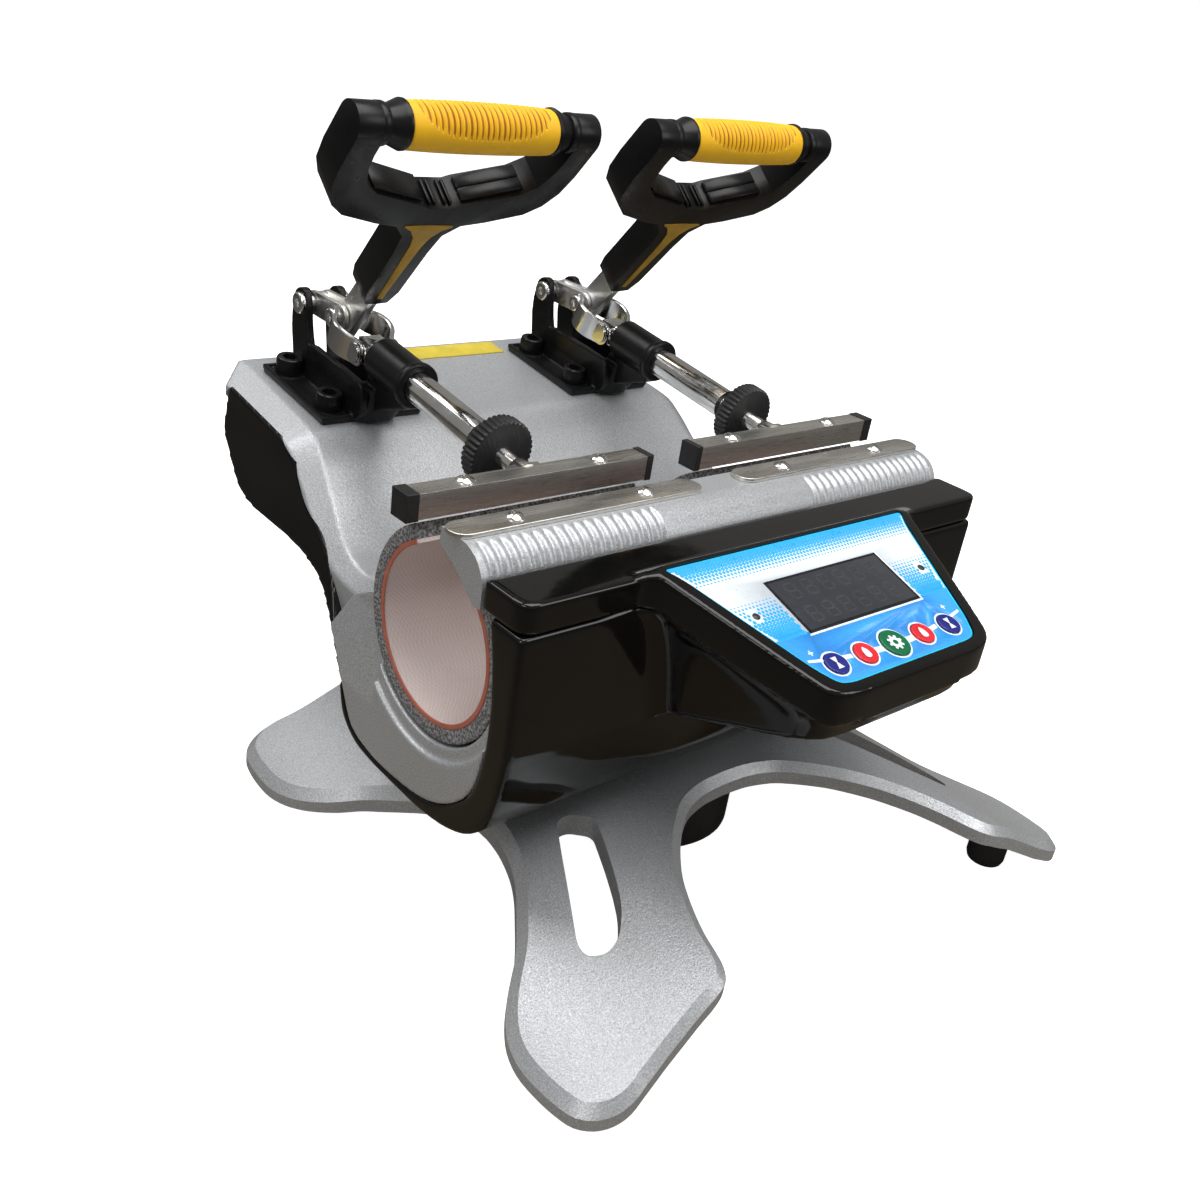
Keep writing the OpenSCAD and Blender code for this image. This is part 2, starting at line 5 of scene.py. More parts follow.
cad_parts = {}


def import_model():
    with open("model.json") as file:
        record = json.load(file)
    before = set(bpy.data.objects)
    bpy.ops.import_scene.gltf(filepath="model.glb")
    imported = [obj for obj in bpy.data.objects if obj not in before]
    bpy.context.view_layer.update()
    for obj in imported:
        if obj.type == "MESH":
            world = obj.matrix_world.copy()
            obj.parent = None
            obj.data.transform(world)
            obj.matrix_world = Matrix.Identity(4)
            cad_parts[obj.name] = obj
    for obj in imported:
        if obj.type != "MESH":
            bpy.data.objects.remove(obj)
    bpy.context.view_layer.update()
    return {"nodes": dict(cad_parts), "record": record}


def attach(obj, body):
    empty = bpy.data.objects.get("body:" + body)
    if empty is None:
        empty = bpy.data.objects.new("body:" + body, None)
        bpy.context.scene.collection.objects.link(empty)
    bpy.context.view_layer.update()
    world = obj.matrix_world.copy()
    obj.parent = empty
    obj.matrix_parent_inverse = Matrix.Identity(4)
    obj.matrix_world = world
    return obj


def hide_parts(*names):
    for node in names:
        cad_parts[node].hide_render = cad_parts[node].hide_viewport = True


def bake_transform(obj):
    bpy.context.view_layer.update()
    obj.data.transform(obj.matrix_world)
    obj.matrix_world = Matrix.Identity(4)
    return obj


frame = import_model()
NODES = frame["nodes"]
scene = bpy.context.scene
coll = scene.collection

# Shapes are in mm, and new_obj and patch turn them into metres.
SIDES = (("left", -1), ("right", 1))
STATION = 92.7              # half the distance between the stations
TILT = math.radians(7.3)    # the clamps against the floor
LEAN = math.radians(34.3)   # the levers against their clamps
BASE_PIN = (63, 4)          # y, z in the clamp's frame
RING_PIN = (31.6, 7.7)
GRIP_Z = 168.4              # the grip's axis, along the lever
HALF = 168                  # half the body's width
HUB_Y = -61                 # line midway between front and rear legs
BORE = (-43.8, 157.4)       # y, z of the mug bores' axis
SLOPE = 0.314               # fall of the console's face
BUTTON_Y = -188.6

# ------------------------------------------------------------------ places
def clamp_m(s):
    """The clamp's own frame: rear pivot of the plunger at the origin, Y to the back."""
    return Matrix.Translation((s * STATION, 138, 237)) @ Matrix.Rotation(TILT, 4, "X")

def lever_m(s):
    """The lever's own frame: origin at the ring's pin, Z along the lever."""
    return clamp_m(s) @ Matrix.Translation((0, *RING_PIN)) @ Matrix.Rotation(LEAN, 4, "X")

def con_z(y):
    return 210 - SLOPE * (-114 - y)

def console_m(x, y):
    return Matrix.Translation((x, y, con_z(y))) @ Matrix.Rotation(math.atan(SLOPE), 4, "X")

# ------------------------------------------------------------------ materials
class Mat:
    """A small node graph builder round one Principled shader."""
    def __init__(self, name, color, rough, metal=0.0, **sock):
        self.m = bpy.data.materials.new(name)
        self.m.use_nodes = True
        self.nt = self.m.node_tree
        self.b = self.nt.nodes["Principled BSDF"]
        self.b.inputs["Base Color"].default_value = (*color, 1)
        self.b.inputs["Roughness"].default_value = rough
        self.b.inputs["Metallic"].default_value = metal
        for k, v in sock.items():
            self.b.inputs[k.replace("_", " ")].default_value = v
        self.m.diffuse_color = (*color, 1)
        self.tc = self.n("ShaderNodeTexCoord")
        self.height = None
    def n(self, kind, values=None, **props):
        """A new node with its properties and unlinked inputs set."""
        node = self.nt.nodes.new(kind)
        for k, v in props.items():
            setattr(node, k, v)
        for k, v in (values or {}).items():
            node.inputs[k].default_value = v
        return node
    def link(self, a, b):
        self.nt.links.new(a, b)
    def feed(self, socket, v):
        """A number, a colour or another node's output into a socket."""
        if isinstance(v, (int, float)):
            socket.default_value = v
        elif isinstance(v, tuple):
            socket.default_value = (*v, 1)
        else:
            self.link(v, socket)
    def coords(self, node, scale=(1, 1, 1)):
        m = self.n("ShaderNodeMapping", {"Scale": scale})
        self.link(self.tc.outputs["Object"], m.inputs["Vector"])
        self.link(m.outputs["Vector"], node.inputs["Vector"])
    def n_xyz(self, i):
        if not hasattr(self, "sep"):
            self.sep = self.n("ShaderNodeSeparateXYZ")
            self.link(self.tc.outputs["Object"], self.sep.inputs[0])
        return self.sep.outputs[i]
    def noise(self, scale, detail=3, rough=0.5, stretch=(1, 1, 1)):
        t = self.n("ShaderNodeTexNoise", {"Scale": scale, "Detail": detail, "Roughness": rough})
        self.coords(t, stretch)
        return t.outputs["Fac"]
    def voronoi(self, scale):
        t = self.n("ShaderNodeTexVoronoi", {"Scale": scale}, feature="F1")
        self.coords(t)
        return t.outputs["Distance"]
    def ramp(self, fac, stops):
        r = self.n("ShaderNodeValToRGB")
        els = r.color_ramp.elements
        while len(els) < len(stops):
            els.new(0.5)
        for e, (p, c) in zip(els, stops):
            e.position = p
            e.color = (*c, 1)
        self.link(fac, r.inputs["Fac"])
        return r.outputs["Color"]
    def span(self, fac, a, b, lo=0.0, hi=1.0):
        """fac from lo to hi becomes a to b."""
        r = self.n("ShaderNodeMapRange", {"From Min": lo, "From Max": hi, "To Min": a, "To Max": b})
        self.link(fac, r.inputs["Value"])
        return r.outputs["Result"]
    def math(self, op, *values):
        m = self.n("ShaderNodeMath", operation=op)
        for i, v in enumerate(values):
            self.feed(m.inputs[i], v)
        return m.outputs[0]
    def mix(self, fac, a, b):
        m = self.n("ShaderNodeMix", data_type="RGBA")
        for i, v in ((0, fac), (6, a), (7, b)):
            self.feed(m.inputs[i], v)
        return m.outputs[2]
    def color(self, out):
        self.link(out, self.b.inputs["Base Color"])
    def rough(self, out):
        self.link(out, self.b.inputs["Roughness"])
    def bump(self, h, strength, dist=0.0005):
        bp = self.n("ShaderNodeBump", {"Strength": strength, "Distance": dist})
        self.link(h, bp.inputs["Height"])
        if self.height is not None:
            self.link(self.height, bp.inputs["Normal"])
        self.height = bp.outputs["Normal"]
        self.link(self.height, self.b.inputs["Normal"])

def tint(c, k):
    return tuple(min(1, v * k) for v in c)

def uneven(m, c, rough, shades, tone, grain, down, up):
    """Colour that follows one noise and roughness that follows another."""
    m.color(m.ramp(tone, [(at, tint(c, k)) for at, k in shades]))
    m.rough(m.span(grain, rough - down, rough + up, 0.3, 0.7))

def silver():
    c, rough = (0.50, 0.513, 0.527), 0.38
    m = Mat("silver_paint", c, rough, 0.5)
    fine = m.noise(1500, 2, 0.6)
    broad = m.noise(14, 3, 0.5)
    base = m.ramp(fine, [(0.32, tint(c, 0.66)), (0.50, c), (0.68, tint(c, 1.30))])
    m.color(m.mix(m.span(broad, 0.0, 0.25, 0.35, 0.65), base, tint(c, 0.86)))
    m.rough(m.span(m.noise(900, 2), rough - 0.08, rough + 0.12, 0.3, 0.7))
    m.bump(m.noise(750, 3, 0.55), 0.5, 0.00035)
    return m.m

def gloss_black():
    m = Mat("gloss_black", (0.004, 0.004, 0.0042), 0.07, 0.0,
            Specular_IOR_Level=0.36, Coat_Weight=0.12, Coat_Roughness=0.04)
    smear = m.noise(22, 4, 0.6)
    m.rough(m.span(smear, 0.05, 0.16, 0.35, 0.75))
    m.color(m.ramp(smear, [(0.3, (0.003, 0.003, 0.003)), (0.8, (0.006, 0.0055, 0.005))]))
    m.bump(m.noise(55, 2), 0.06, 0.0012)
    return m.m

def satin_black(name, c, rough, bump, scale):
    m = Mat(name, c, rough, 0.0, Specular_IOR_Level=0.27)
    uneven(m, c, rough, [(0.3, 0.85), (0.75, 1.25)], m.noise(60, 4, 0.6), m.noise(130), 0.03, 0.06)
    m.bump(m.noise(scale, 3, 0.6), bump, 0.0003)
    return m.m

def chrome():
    c, rough = (0.80, 0.80, 0.79), 0.14
    m = Mat("chrome", c, rough, 1.0)
    uneven(m, c, rough, [(0.3, 0.88), (0.7, 1.08)], m.noise(40), m.noise(180), 0.06, 0.12)
    m.bump(m.noise(260, 2), 0.06, 0.0003)
    return m.m

def brushed(name, c, rough, stretch):
    m = Mat(name, c, rough, 1.0, Anisotropic=0.4)
    grain = m.noise(2600, 4, 0.7, stretch)
    lines = m.ramp(grain, [(0.25, tint(c, 0.80)), (0.75, tint(c, 1.18))])
    # the tan mixed in by a broad noise is a painted reflection of warm surroundings; the grain lines are the
    # steel's own
    m.color(m.mix(m.span(m.noise(30, 2), 0, 0.35, 0.35, 0.7), lines, (0.70, 0.67, 0.60)))
    m.rough(m.span(grain, rough - 0.07, rough + 0.13, 0.25, 0.75))
    m.bump(grain, 0.22, 0.00015)
    return m.m

def plastic(name, c, rough=0.35, bump=0.12, scale=600, vary=0.12):
    m = Mat(name, c, rough)
    uneven(m, c, rough, [(0.3, 1 - vary), (0.7, 1 + vary)], m.noise(90), m.noise(240), 0.06, 0.1)
    m.bump(m.noise(scale, 3), bump, 0.0002)
    return m.m

def foam():
    m = Mat("foam", (0.16, 0.155, 0.155), 0.9)
    cells = m.voronoi(620)
    dark, mid, light = (0.055, 0.053, 0.053), (0.17, 0.165, 0.165), (0.36, 0.35, 0.35)
    m.color(m.ramp(cells, [(0.10, dark), (0.45, mid), (0.85, light)]))
    m.bump(cells, 0.9, 0.0011)
    m.bump(m.noise(1500, 2), 0.3, 0.0004)
    return m.m

def liner():
    """Silicone over woven glass: three crossed waves give the weave."""
    m = Mat("liner", (0.86, 0.76, 0.74), 0.5, 0.0, Sheen_Weight=0.1)
    wave = [m.math("SINE", m.math("MULTIPLY", m.n_xyz(i), 2600.0)) for i in (0, 1, 2)]
    weave = m.math("MULTIPLY", wave[0], m.math("MULTIPLY", wave[1], wave[2]))
    low, mid, high = (0.58, 0.47, 0.45), (0.66, 0.56, 0.53), (0.74, 0.65, 0.62)
    tone = m.ramp(m.span(weave, 0, 1, -0.7, 0.7), [(0.0, low), (0.55, mid), (1.0, high)])
    m.color(m.mix(m.span(m.noise(16, 3), 0.0, 0.5, 0.35, 0.7), tone, (0.69, 0.59, 0.56)))
    m.bump(weave, 0.35, 0.0003)
    return m.m

# colour, roughness, bump, bump scale, colour variation
PLASTICS = {
    "black_plastic": ((0.014, 0.014, 0.015), 0.42, 0.2, 500),
    "black_rubber": ((0.016, 0.016, 0.016), 0.7, 0.4, 380),
    "yellow_grip": ((0.92, 0.50, 0.001), 0.55, 0.1, 1200, 0.04),
    # darker orange for the grip's grooves: painted shade in the recesses
    "painted_groove_shade": ((0.42, 0.17, 0.002), 0.6, 0.1, 1200, 0.04),
    "inlay_yellow": ((0.50, 0.28, 0.01), 0.5, 0.15, 900, 0.15),
    "wrap_edge": ((0.46, 0.13, 0.08), 0.5, 0.15),
    "display": ((0.035, 0.038, 0.045), 0.12, 0.02, 300, 0.1),
    "button_navy": ((0.015, 0.02, 0.20), 0.25, 0.05, 300, 0.05),
    "button_red": ((0.72, 0.02, 0.03), 0.25, 0.05, 300, 0.05),
    "button_green": ((0.0, 0.14, 0.05), 0.25, 0.05, 300, 0.05),
    "circuit_board": ((0.01, 0.11, 0.04), 0.4),
    "label": ((0.62, 0.48, 0.04), 0.4, 0.1),
    "switch_red": ((0.5, 0.01, 0.01), 0.2),
    "overlay": ((0.05, 0.38, 0.93), 0.3, 0.05),
    "print_edge": ((0.02, 0.55, 0.93), 0.3, 0.03),
    "print_white": ((0.82, 0.88, 0.93), 0.3, 0.03, 600, 0.03),
    "print_blue": ((0.045, 0.36, 0.95), 0.3, 0.03, 600, 0.04),
    "print_cyan": ((0.03, 0.42, 0.90), 0.3, 0.03, 600, 0.04),
    "print_black": ((0.004, 0.004, 0.005), 0.3, 0.03),
    "print_ghost": ((0.048, 0.051, 0.056), 0.2, 0.02),
}
M = {name: plastic(name, *look) for name, look in PLASTICS.items()}
M.update({
    "silver_paint": silver(),
    "gloss_black": gloss_black(),
    "black_paint": satin_black("black_paint", (0.006, 0.006, 0.0065), 0.30, 0.05, 1300),
    "bolt_black": satin_black("bolt_black", (0.008, 0.008, 0.008), 0.26, 0.08, 900),
    "stainless": brushed("stainless", (0.80, 0.785, 0.75), 0.27, (0.02, 1, 1)),
    "lever_steel": brushed("lever_steel", (0.93, 0.93, 0.91), 0.34, (1, 0.06, 0.06)),
    "chrome": chrome(),
    "foam": foam(),
    "liner": liner(),
})
for part in frame["record"]["subparts"]:
    data = NODES[part["node"]].data
    data.materials.clear()
    data.materials.append(M[part["material_slot"]])

# ------------------------------------------------------------------ mesh helpers
def mark_smooth(me, angle=35):
    """Smooth shading with edges sharper than the angle kept sharp."""
    bm = bmesh.new()
    bm.from_mesh(me)
    for f in bm.faces:
        f.smooth = True
    lim = math.radians(angle)
    for e in bm.edges:
        e.smooth = not (len(e.link_faces) == 2 and e.calc_face_angle(0) > lim)
    bm.to_mesh(me)
    bm.free()

def bake(o, angle=None):
    """Applies the object's modifiers."""
    dg = bpy.context.evaluated_depsgraph_get()
    me = bpy.data.meshes.new_from_object(o.evaluated_get(dg))
    mats = list(o.data.materials)
    o.modifiers.clear()
    o.data = me
    if not me.materials:
        for s in mats:
            me.materials.append(s)
    if angle is not None:
        mark_smooth(me, angle)
    return o

def own(o, body, rep=()):
    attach(o, body)
    if rep:
        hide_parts(*rep)
    return o

def dress(o, name, mat, body, rep=()):
    o.name = name
    o.data.materials.clear()
    o.data.materials.append(M[mat])
    return own(o, body, rep)

def new_obj(name, part, mat, body=None, rep=(), m=None, angle=35):
    me = bpy.data.meshes.new(name)
    m = m or Matrix.Identity(4)
    me.from_pydata([(m @ Vector(v)) * 0.001 for v in part[0]], [], part[1])
    me.validate()
    bm = bmesh.new()
    bm.from_mesh(me)
    bmesh.ops.remove_doubles(bm, verts=bm.verts, dist=1e-6)
    bmesh.ops.recalc_face_normals(bm, faces=bm.faces)
    bm.to_mesh(me)
    bm.free()
    me.materials.append(M[mat])
    mark_smooth(me, angle)
    o = bpy.data.objects.new(name, me)
    coll.objects.link(o)
    if body:
        own(o, body, rep)
    return o

def temp(part, m=None):
    """A working object: it is finished with dress, or used up by boolean."""
    return new_obj("tmp", part, "silver_paint", m=m)

def patch(name, parts, mat, body="machine"):
    """Many thin prints as one object."""
    v, f = join(*parts)
    me = bpy.data.meshes.new(name)
    me.from_pydata([Vector(p) * 0.001 for p in v], [], f)
    me.validate()
    me.materials.append(M[mat])
    o = bpy.data.objects.new(name, me)
    coll.objects.link(o)
    return own(o, body, ())

def place(o, m):
    """Moves a mesh that was made in a clamp's or lever's frame."""
    o.data.transform(Matrix.Scale(0.001, 4) @ m @ Matrix.Scale(1000, 4))

def loft(rings, caps=True):
    """Closed rings of one count joined in turn; returns verts, faces."""
    n = len(rings[0])
    v = [p for ring in rings for p in ring]
    f = [tuple(range(n)), tuple(range(len(v) - 1, len(v) - n - 1, -1))] if caps else []
    for k in range(0, len(v) - n, n):
        f += [(k + i, k + (i + 1) % n, k + n + (i + 1) % n, k + n + i) for i in range(n)]
    return v, f

def prism(pts, a, b, plane="yz"):
    """Closed outline swept between a and b."""
    put = {"yz": lambda p, t: (t, p[0], p[1]),
           "xz": lambda p, t: (p[0], t, p[1]),
           "xy": lambda p, t: (p[0], p[1], t)}[plane]
    return loft([[put(p, t) for p in pts] for t in (a, b)])

def disc(x, y, r, n):
    turn = (2 * math.pi * i / n for i in range(n))
    return [(x + r * math.cos(a), y + r * math.sin(a)) for a in turn]

def rod(at, r, x0, x1, n):
    """A cylinder along X round the point (y, z)."""
    return prism(disc(*at, r, n), x0, x1)

def rect(x0, y0, x1, y1):
    return [(x0, y0), (x1, y0), (x1, y1), (x0, y1)]

def mirrored(half):
    """Outline whose other half repeats this one across the middle."""
    return half + [(-x, y) for x, y in reversed(half)]

def lathe(prof, n=48, caps=True):
    """Profile of (radius, height) turned about Z."""
    return loft([[(x, y, z) for x, y in disc(0, 0, r, n)] for r, z in prof], caps)

def socket_head(prof, recess, n, knurled=()):
    """A turned head with a hexagon socket; knurled rings have every second point set in."""
    rings = []
    turn = [2 * math.pi * i / n for i in range(n)]
    for k, (r, z) in enumerate(prof):
        dips = [0.22 if k in knurled and i % 2 else 0 for i in range(n)]
        rings.append([((r - d) * math.cos(a), (r - d) * math.sin(a), z) for a, d in zip(turn, dips)])
    for r, z in recess:
        ring = []
        for a in turn:
            off = (a + math.pi / 6) % (math.pi / 3) - math.pi / 6
            hexa = r * math.cos(math.pi / 6) / math.cos(off)
            ring.append((hexa * math.cos(a), hexa * math.sin(a), z))
        rings.append(ring)
    return loft(rings, False)

def capsule(p, q, rp, rq, n=14):
    """Outline round two points with a radius at each."""
    d = math.atan2(q[1] - p[1], q[0] - p[0])
    out = []
    for (x, y), r, k in ((q, rq, -0.5), (p, rp, 0.5)):
        turn = (d + math.pi * (i / n + k) for i in range(n + 1))
        out += [(x + r * math.cos(a), y + r * math.sin(a)) for a in turn]
    return out

def join(*parts):
    v, f = [], []
    for pv, pf in parts:
        o = len(v)
        v += list(pv)
        f += [tuple(i + o for i in face) for face in pf]
    return v, f

def moved(part, m):
    return [tuple(m @ Vector(p)) for p in part[0]], part[1]

def mod(o, kind, **k):
    md = o.modifiers.new(kind.lower(), kind)
    for a, v in k.items():
        setattr(md, a, v)

def edge_mod(o, width, seg, angle, **k):
    mod(o, "BEVEL", width=width * 0.001, segments=seg, limit_method="ANGLE",
        angle_limit=math.radians(angle), **k)

def bevel(o, w, seg, ang):
    edge_mod(o, w, seg, ang, miter_outer="MITER_ARC")
    return bake(o, 35)

def boolean(o, part, op="DIFFERENCE", m=None):
    other = temp(part, m)
    mod(o, "BOOLEAN", object=other, operation=op, solver="EXACT")
    bake(o)
    bpy.data.objects.remove(other)

def skin(o, voxel, smooth, keep=1.0, angle=50):
    """A cast skin: remeshed, relaxed and thinned."""
    mod(o, "REMESH", mode="VOXEL", voxel_size=voxel * 0.001)
    mod(o, "SMOOTH", factor=0.5, iterations=smooth)
    if keep < 1:
        mod(o, "DECIMATE", ratio=keep)
    return bake(o, angle)

# ------------------------------------------------------------------ outlines
def spline(pts, n=6):
    """Smooth open line through points (centripetal), n steps a span."""
    line = [Vector(p) for p in pts]
    line = [line[0] * 2 - line[1]] + line + [line[-1] * 2 - line[-2]]
    out = []
    for k in range(1, len(line) - 2):
        near = line[k - 1:k + 3]
        times = [0.0]
        for a, b in zip(near, near[1:]):
            times.append(times[-1] + max((b - a).length, 1e-6) ** 0.5)
        for i in range(n):
            t = times[1] + (times[2] - times[1]) * i / n
            row = near
            for first, gap in ((0, 1), (0, 2), (1, 1)):
                ends = [(times[first + j], times[first + j + gap]) for j in range(len(row) - 1)]
                row = [a * ((tb - t) / (tb - ta)) + b * ((t - ta) / (tb - ta))
                       for a, b, (ta, tb) in zip(row, row[1:], ends)]
            out.append(tuple(row[0]))
    out.append(tuple(pts[-1]))
    return out

def rounded(pts, r, n=5):
    """Closed outline with each corner replaced by a curve; r is one size or one a corner."""
    out = []
    for i, corner in enumerate(pts):
        p, a, b = Vector(corner), Vector(pts[i - 1]), Vector(pts[(i + 1) % len(pts)])
        ri = r[i] if isinstance(r, list) else r
        if ri <= 0:
            out.append(tuple(p))
            continue
        da, db = a - p, b - p
        d = min(ri, da.length * 0.48, db.length * 0.48)
        s, e = p + da.normalized() * d, p + db.normalized() * d
        for t in (q / n for q in range(n + 1)):
            out.append(tuple(s * (1 - t) ** 2 + p * 2 * t * (1 - t) + e * t * t))
    return out

def along(x, pts):
    """Height at x of a polyline whose x grows."""
    for (x0, z0), (x1, z1) in zip(pts, pts[1:]):
        if x <= x1:
            return z0 + (z1 - z0) * (x - x0) / (x1 - x0)
    return pts[-1][1]

def inset(loop, d):
    out = []
    for i, (x, y) in enumerate(loop):
        (x0, y0), (x1, y1) = loop[i - 1], loop[(i + 1) % len(loop)]
        n = math.hypot(x1 - x0, y1 - y0)
        out.append((x - d * (y1 - y0) / n, y + d * (x1 - x0) / n))
    return out

def inside(p, poly):
    c = False
    for i in range(len(poly)):
        (x1, y1), (x2, y2) = poly[i - 1], poly[i]
        if (y1 > p[1]) != (y2 > p[1]) and p[0] < (x2 - x1) * (p[1] - y1) / (y2 - y1) + x1:
            c = not c
    return c

def clip_y(poly, lo, hi):
    """The part of an outline between two y values."""
    for lim, keep in ((lo, lambda q: q[1] >= lo), (hi, lambda q: q[1] <= hi)):
        out = []
        for i in range(len(poly)):
            a, b = poly[i - 1], poly[i]
            if keep(a) != keep(b):
                t = (lim - a[1]) / (b[1] - a[1])
                out.append((a[0] + (b[0] - a[0]) * t, lim))
            if keep(b):
                out.append(b)
        poly = out
    return poly

# y, z of the body's end profile: the front curve, the slope from the wraps up to the shelf, and
# the underside from the back
J_CURVE = spline([(30, 93.5), (17, 72), (-2, 66), (-24, 65.4), (-52, 69), (-69.8, 76.5), (-84, 88),
                  (-91.4, 99), (-96, 116), (-98, 142), (-95, 170), (-90.5, 190.5)], 5)
CRADLE = spline([(12, 150), (24, 151), (42, 147), (60, 149.5), (80, 159.5), (98, 173), (115, 187),
                 (128, 194.6), (141, 197.3)], 6)
REAR = spline([(227.3, 207.5), (227.0, 200), (222, 188), (206, 166), (186, 148), (170, 141.6),
               (138, 139.6), (104, 138.5), (75, 132), (54, 117), (38, 99), (30, 93.5)], 6)
# x, z of the body's side as seen from the front
FLARE = [(168, 59), (168, 94), (163, 118), (158, 136), (153.5, 156), (151, 176), (149.4, 188),
         (148.6, 199), (148, 214), (147.5, 232)]
# y, z of the black panel on the housing's side
PANEL = [(206, 198.2), (141, 190.0)]
PANEL += spline([(121, 182), (104, 165), (84, 154), (69, 143), (56, 128), (43, 108), (34, 95)], 5)
PANEL += spline([(38, 99), (54, 117), (75, 132), (104, 138.5), (138, 139.6), (170, 141.6),
                 (186, 148), (206, 166), (219, 184)], 5)

def flared_body(grow=0.0):
    """All that lies within the body's flared sides."""
    right = [(168 + grow, 59)] + [(x + grow, z) for x, z in spline(FLARE[1:9], 5)]
    return prism(mirrored(right + [(147.5 + grow, 235)]), -125, 245, "xz")

def console_outline(narrow):
    half = spline([(122, -110.5), (104, -114.9), (97.5, -116.8), (94.2, -120), (91.2, -127.5)], 6)[:-1]
    front = [(91.2, -127.5), (68, -187), (61, -203), (46, -206), (0, -206)]
    half += rounded(front, [0, 14, 9, 8, 0], 6)[:-1]
    return mirrored([(x - narrow if y < -118 else x, y + (narrow if y < -190 else 0)) for x, y in half])

def panel_outline(grow=0.0):
    pts = mirrored([(89.5, -115.6), (84, -124), (58.5, -188), (52, -198.5), (44, -200)])
    pts = rounded(pts, [3.5, 12, 12, 6, 4, 4, 6, 12, 12, 3.5], 6)
    if grow:
        c = Vector((0, -156))
        pts = [tuple(Vector(p) + (Vector(p) - c).normalized() * grow) for p in pts]
    return pts

def slab(outline, up, thick=0.05):
    """Outline lying on the console's plane, with its top so far above it."""
    return loft([[(x, y, con_z(y) + h) for x, y in outline] for h in (up, up - thick)])

# ------------------------------------------------------------------ base and body
# a quarter of the base seen from above: from midway between the front legs, round one leg, to
# the line midway between front and rear legs
LEG_PLAN = [
    (0, 48.1), (9.6, 48.5), (17, 49.2), (26.4, 51.5), (35.4, 54.8), (46.7, 62.4), (59.7, 73.5),
    (68.8, 83.1), (78, 94.6), (85.2, 106.7), (91, 118.3), (95.8, 129.9), (98.8, 139.7),
    (102.1, 148.4), (106.7, 154.6), (113.7, 157.4), (123.2, 158.9), (134.2, 160.5), (146.5, 162.3),
    (158.7, 164.6), (167.7, 166.5), (176.6, 165.8), (184.5, 161.8), (190.3, 154.8), (192.9, 144.9),
    (194.1, 132.2), (193.7, 118.2), (190.1, 105.8), (184, 95.4), (176.1, 85.7), (167.9, 77.6),
    (162.1, 71.9), (155.9, 64.1), (147.3, 51.5), (141.5, 42.6), (136.6, 32.8), (133.3, 23.4),
    (130.7, 12.9), (129.5, 4.3), (129.1, 0)]
LEG_SLOT = rounded([(89, 38), (98, 27), (106, 27), (116, 44), (128, 66), (142, 92), (143, 100),
                    (136, 107), (127, 104), (116, 92), (102, 66)],
                   [5, 5, 5, 20, 20, 6, 6, 8, 8, 12, 20], 6)
# height of the base's top and underside over |x|
BASE_TOP = spline([(0, 60), (32, 60), (60, 59.4), (88, 57.8), (106, 54.8), (124, 48.6), (140, 40.4),
                   (155, 32.4), (170, 26), (183, 21.5), (198, 18)], 4)
BASE_LOW = [(0, 47.2), (60, 47), (90, 45), (109, 42), (125, 35.5), (140, 27.5), (155, 19.5),
            (170, 13.5), (183, 10), (196, 7.5), (202, 6.5)]
CORNERS = [(a, b) for a in (-1, 1) for b in (-1, 1)]

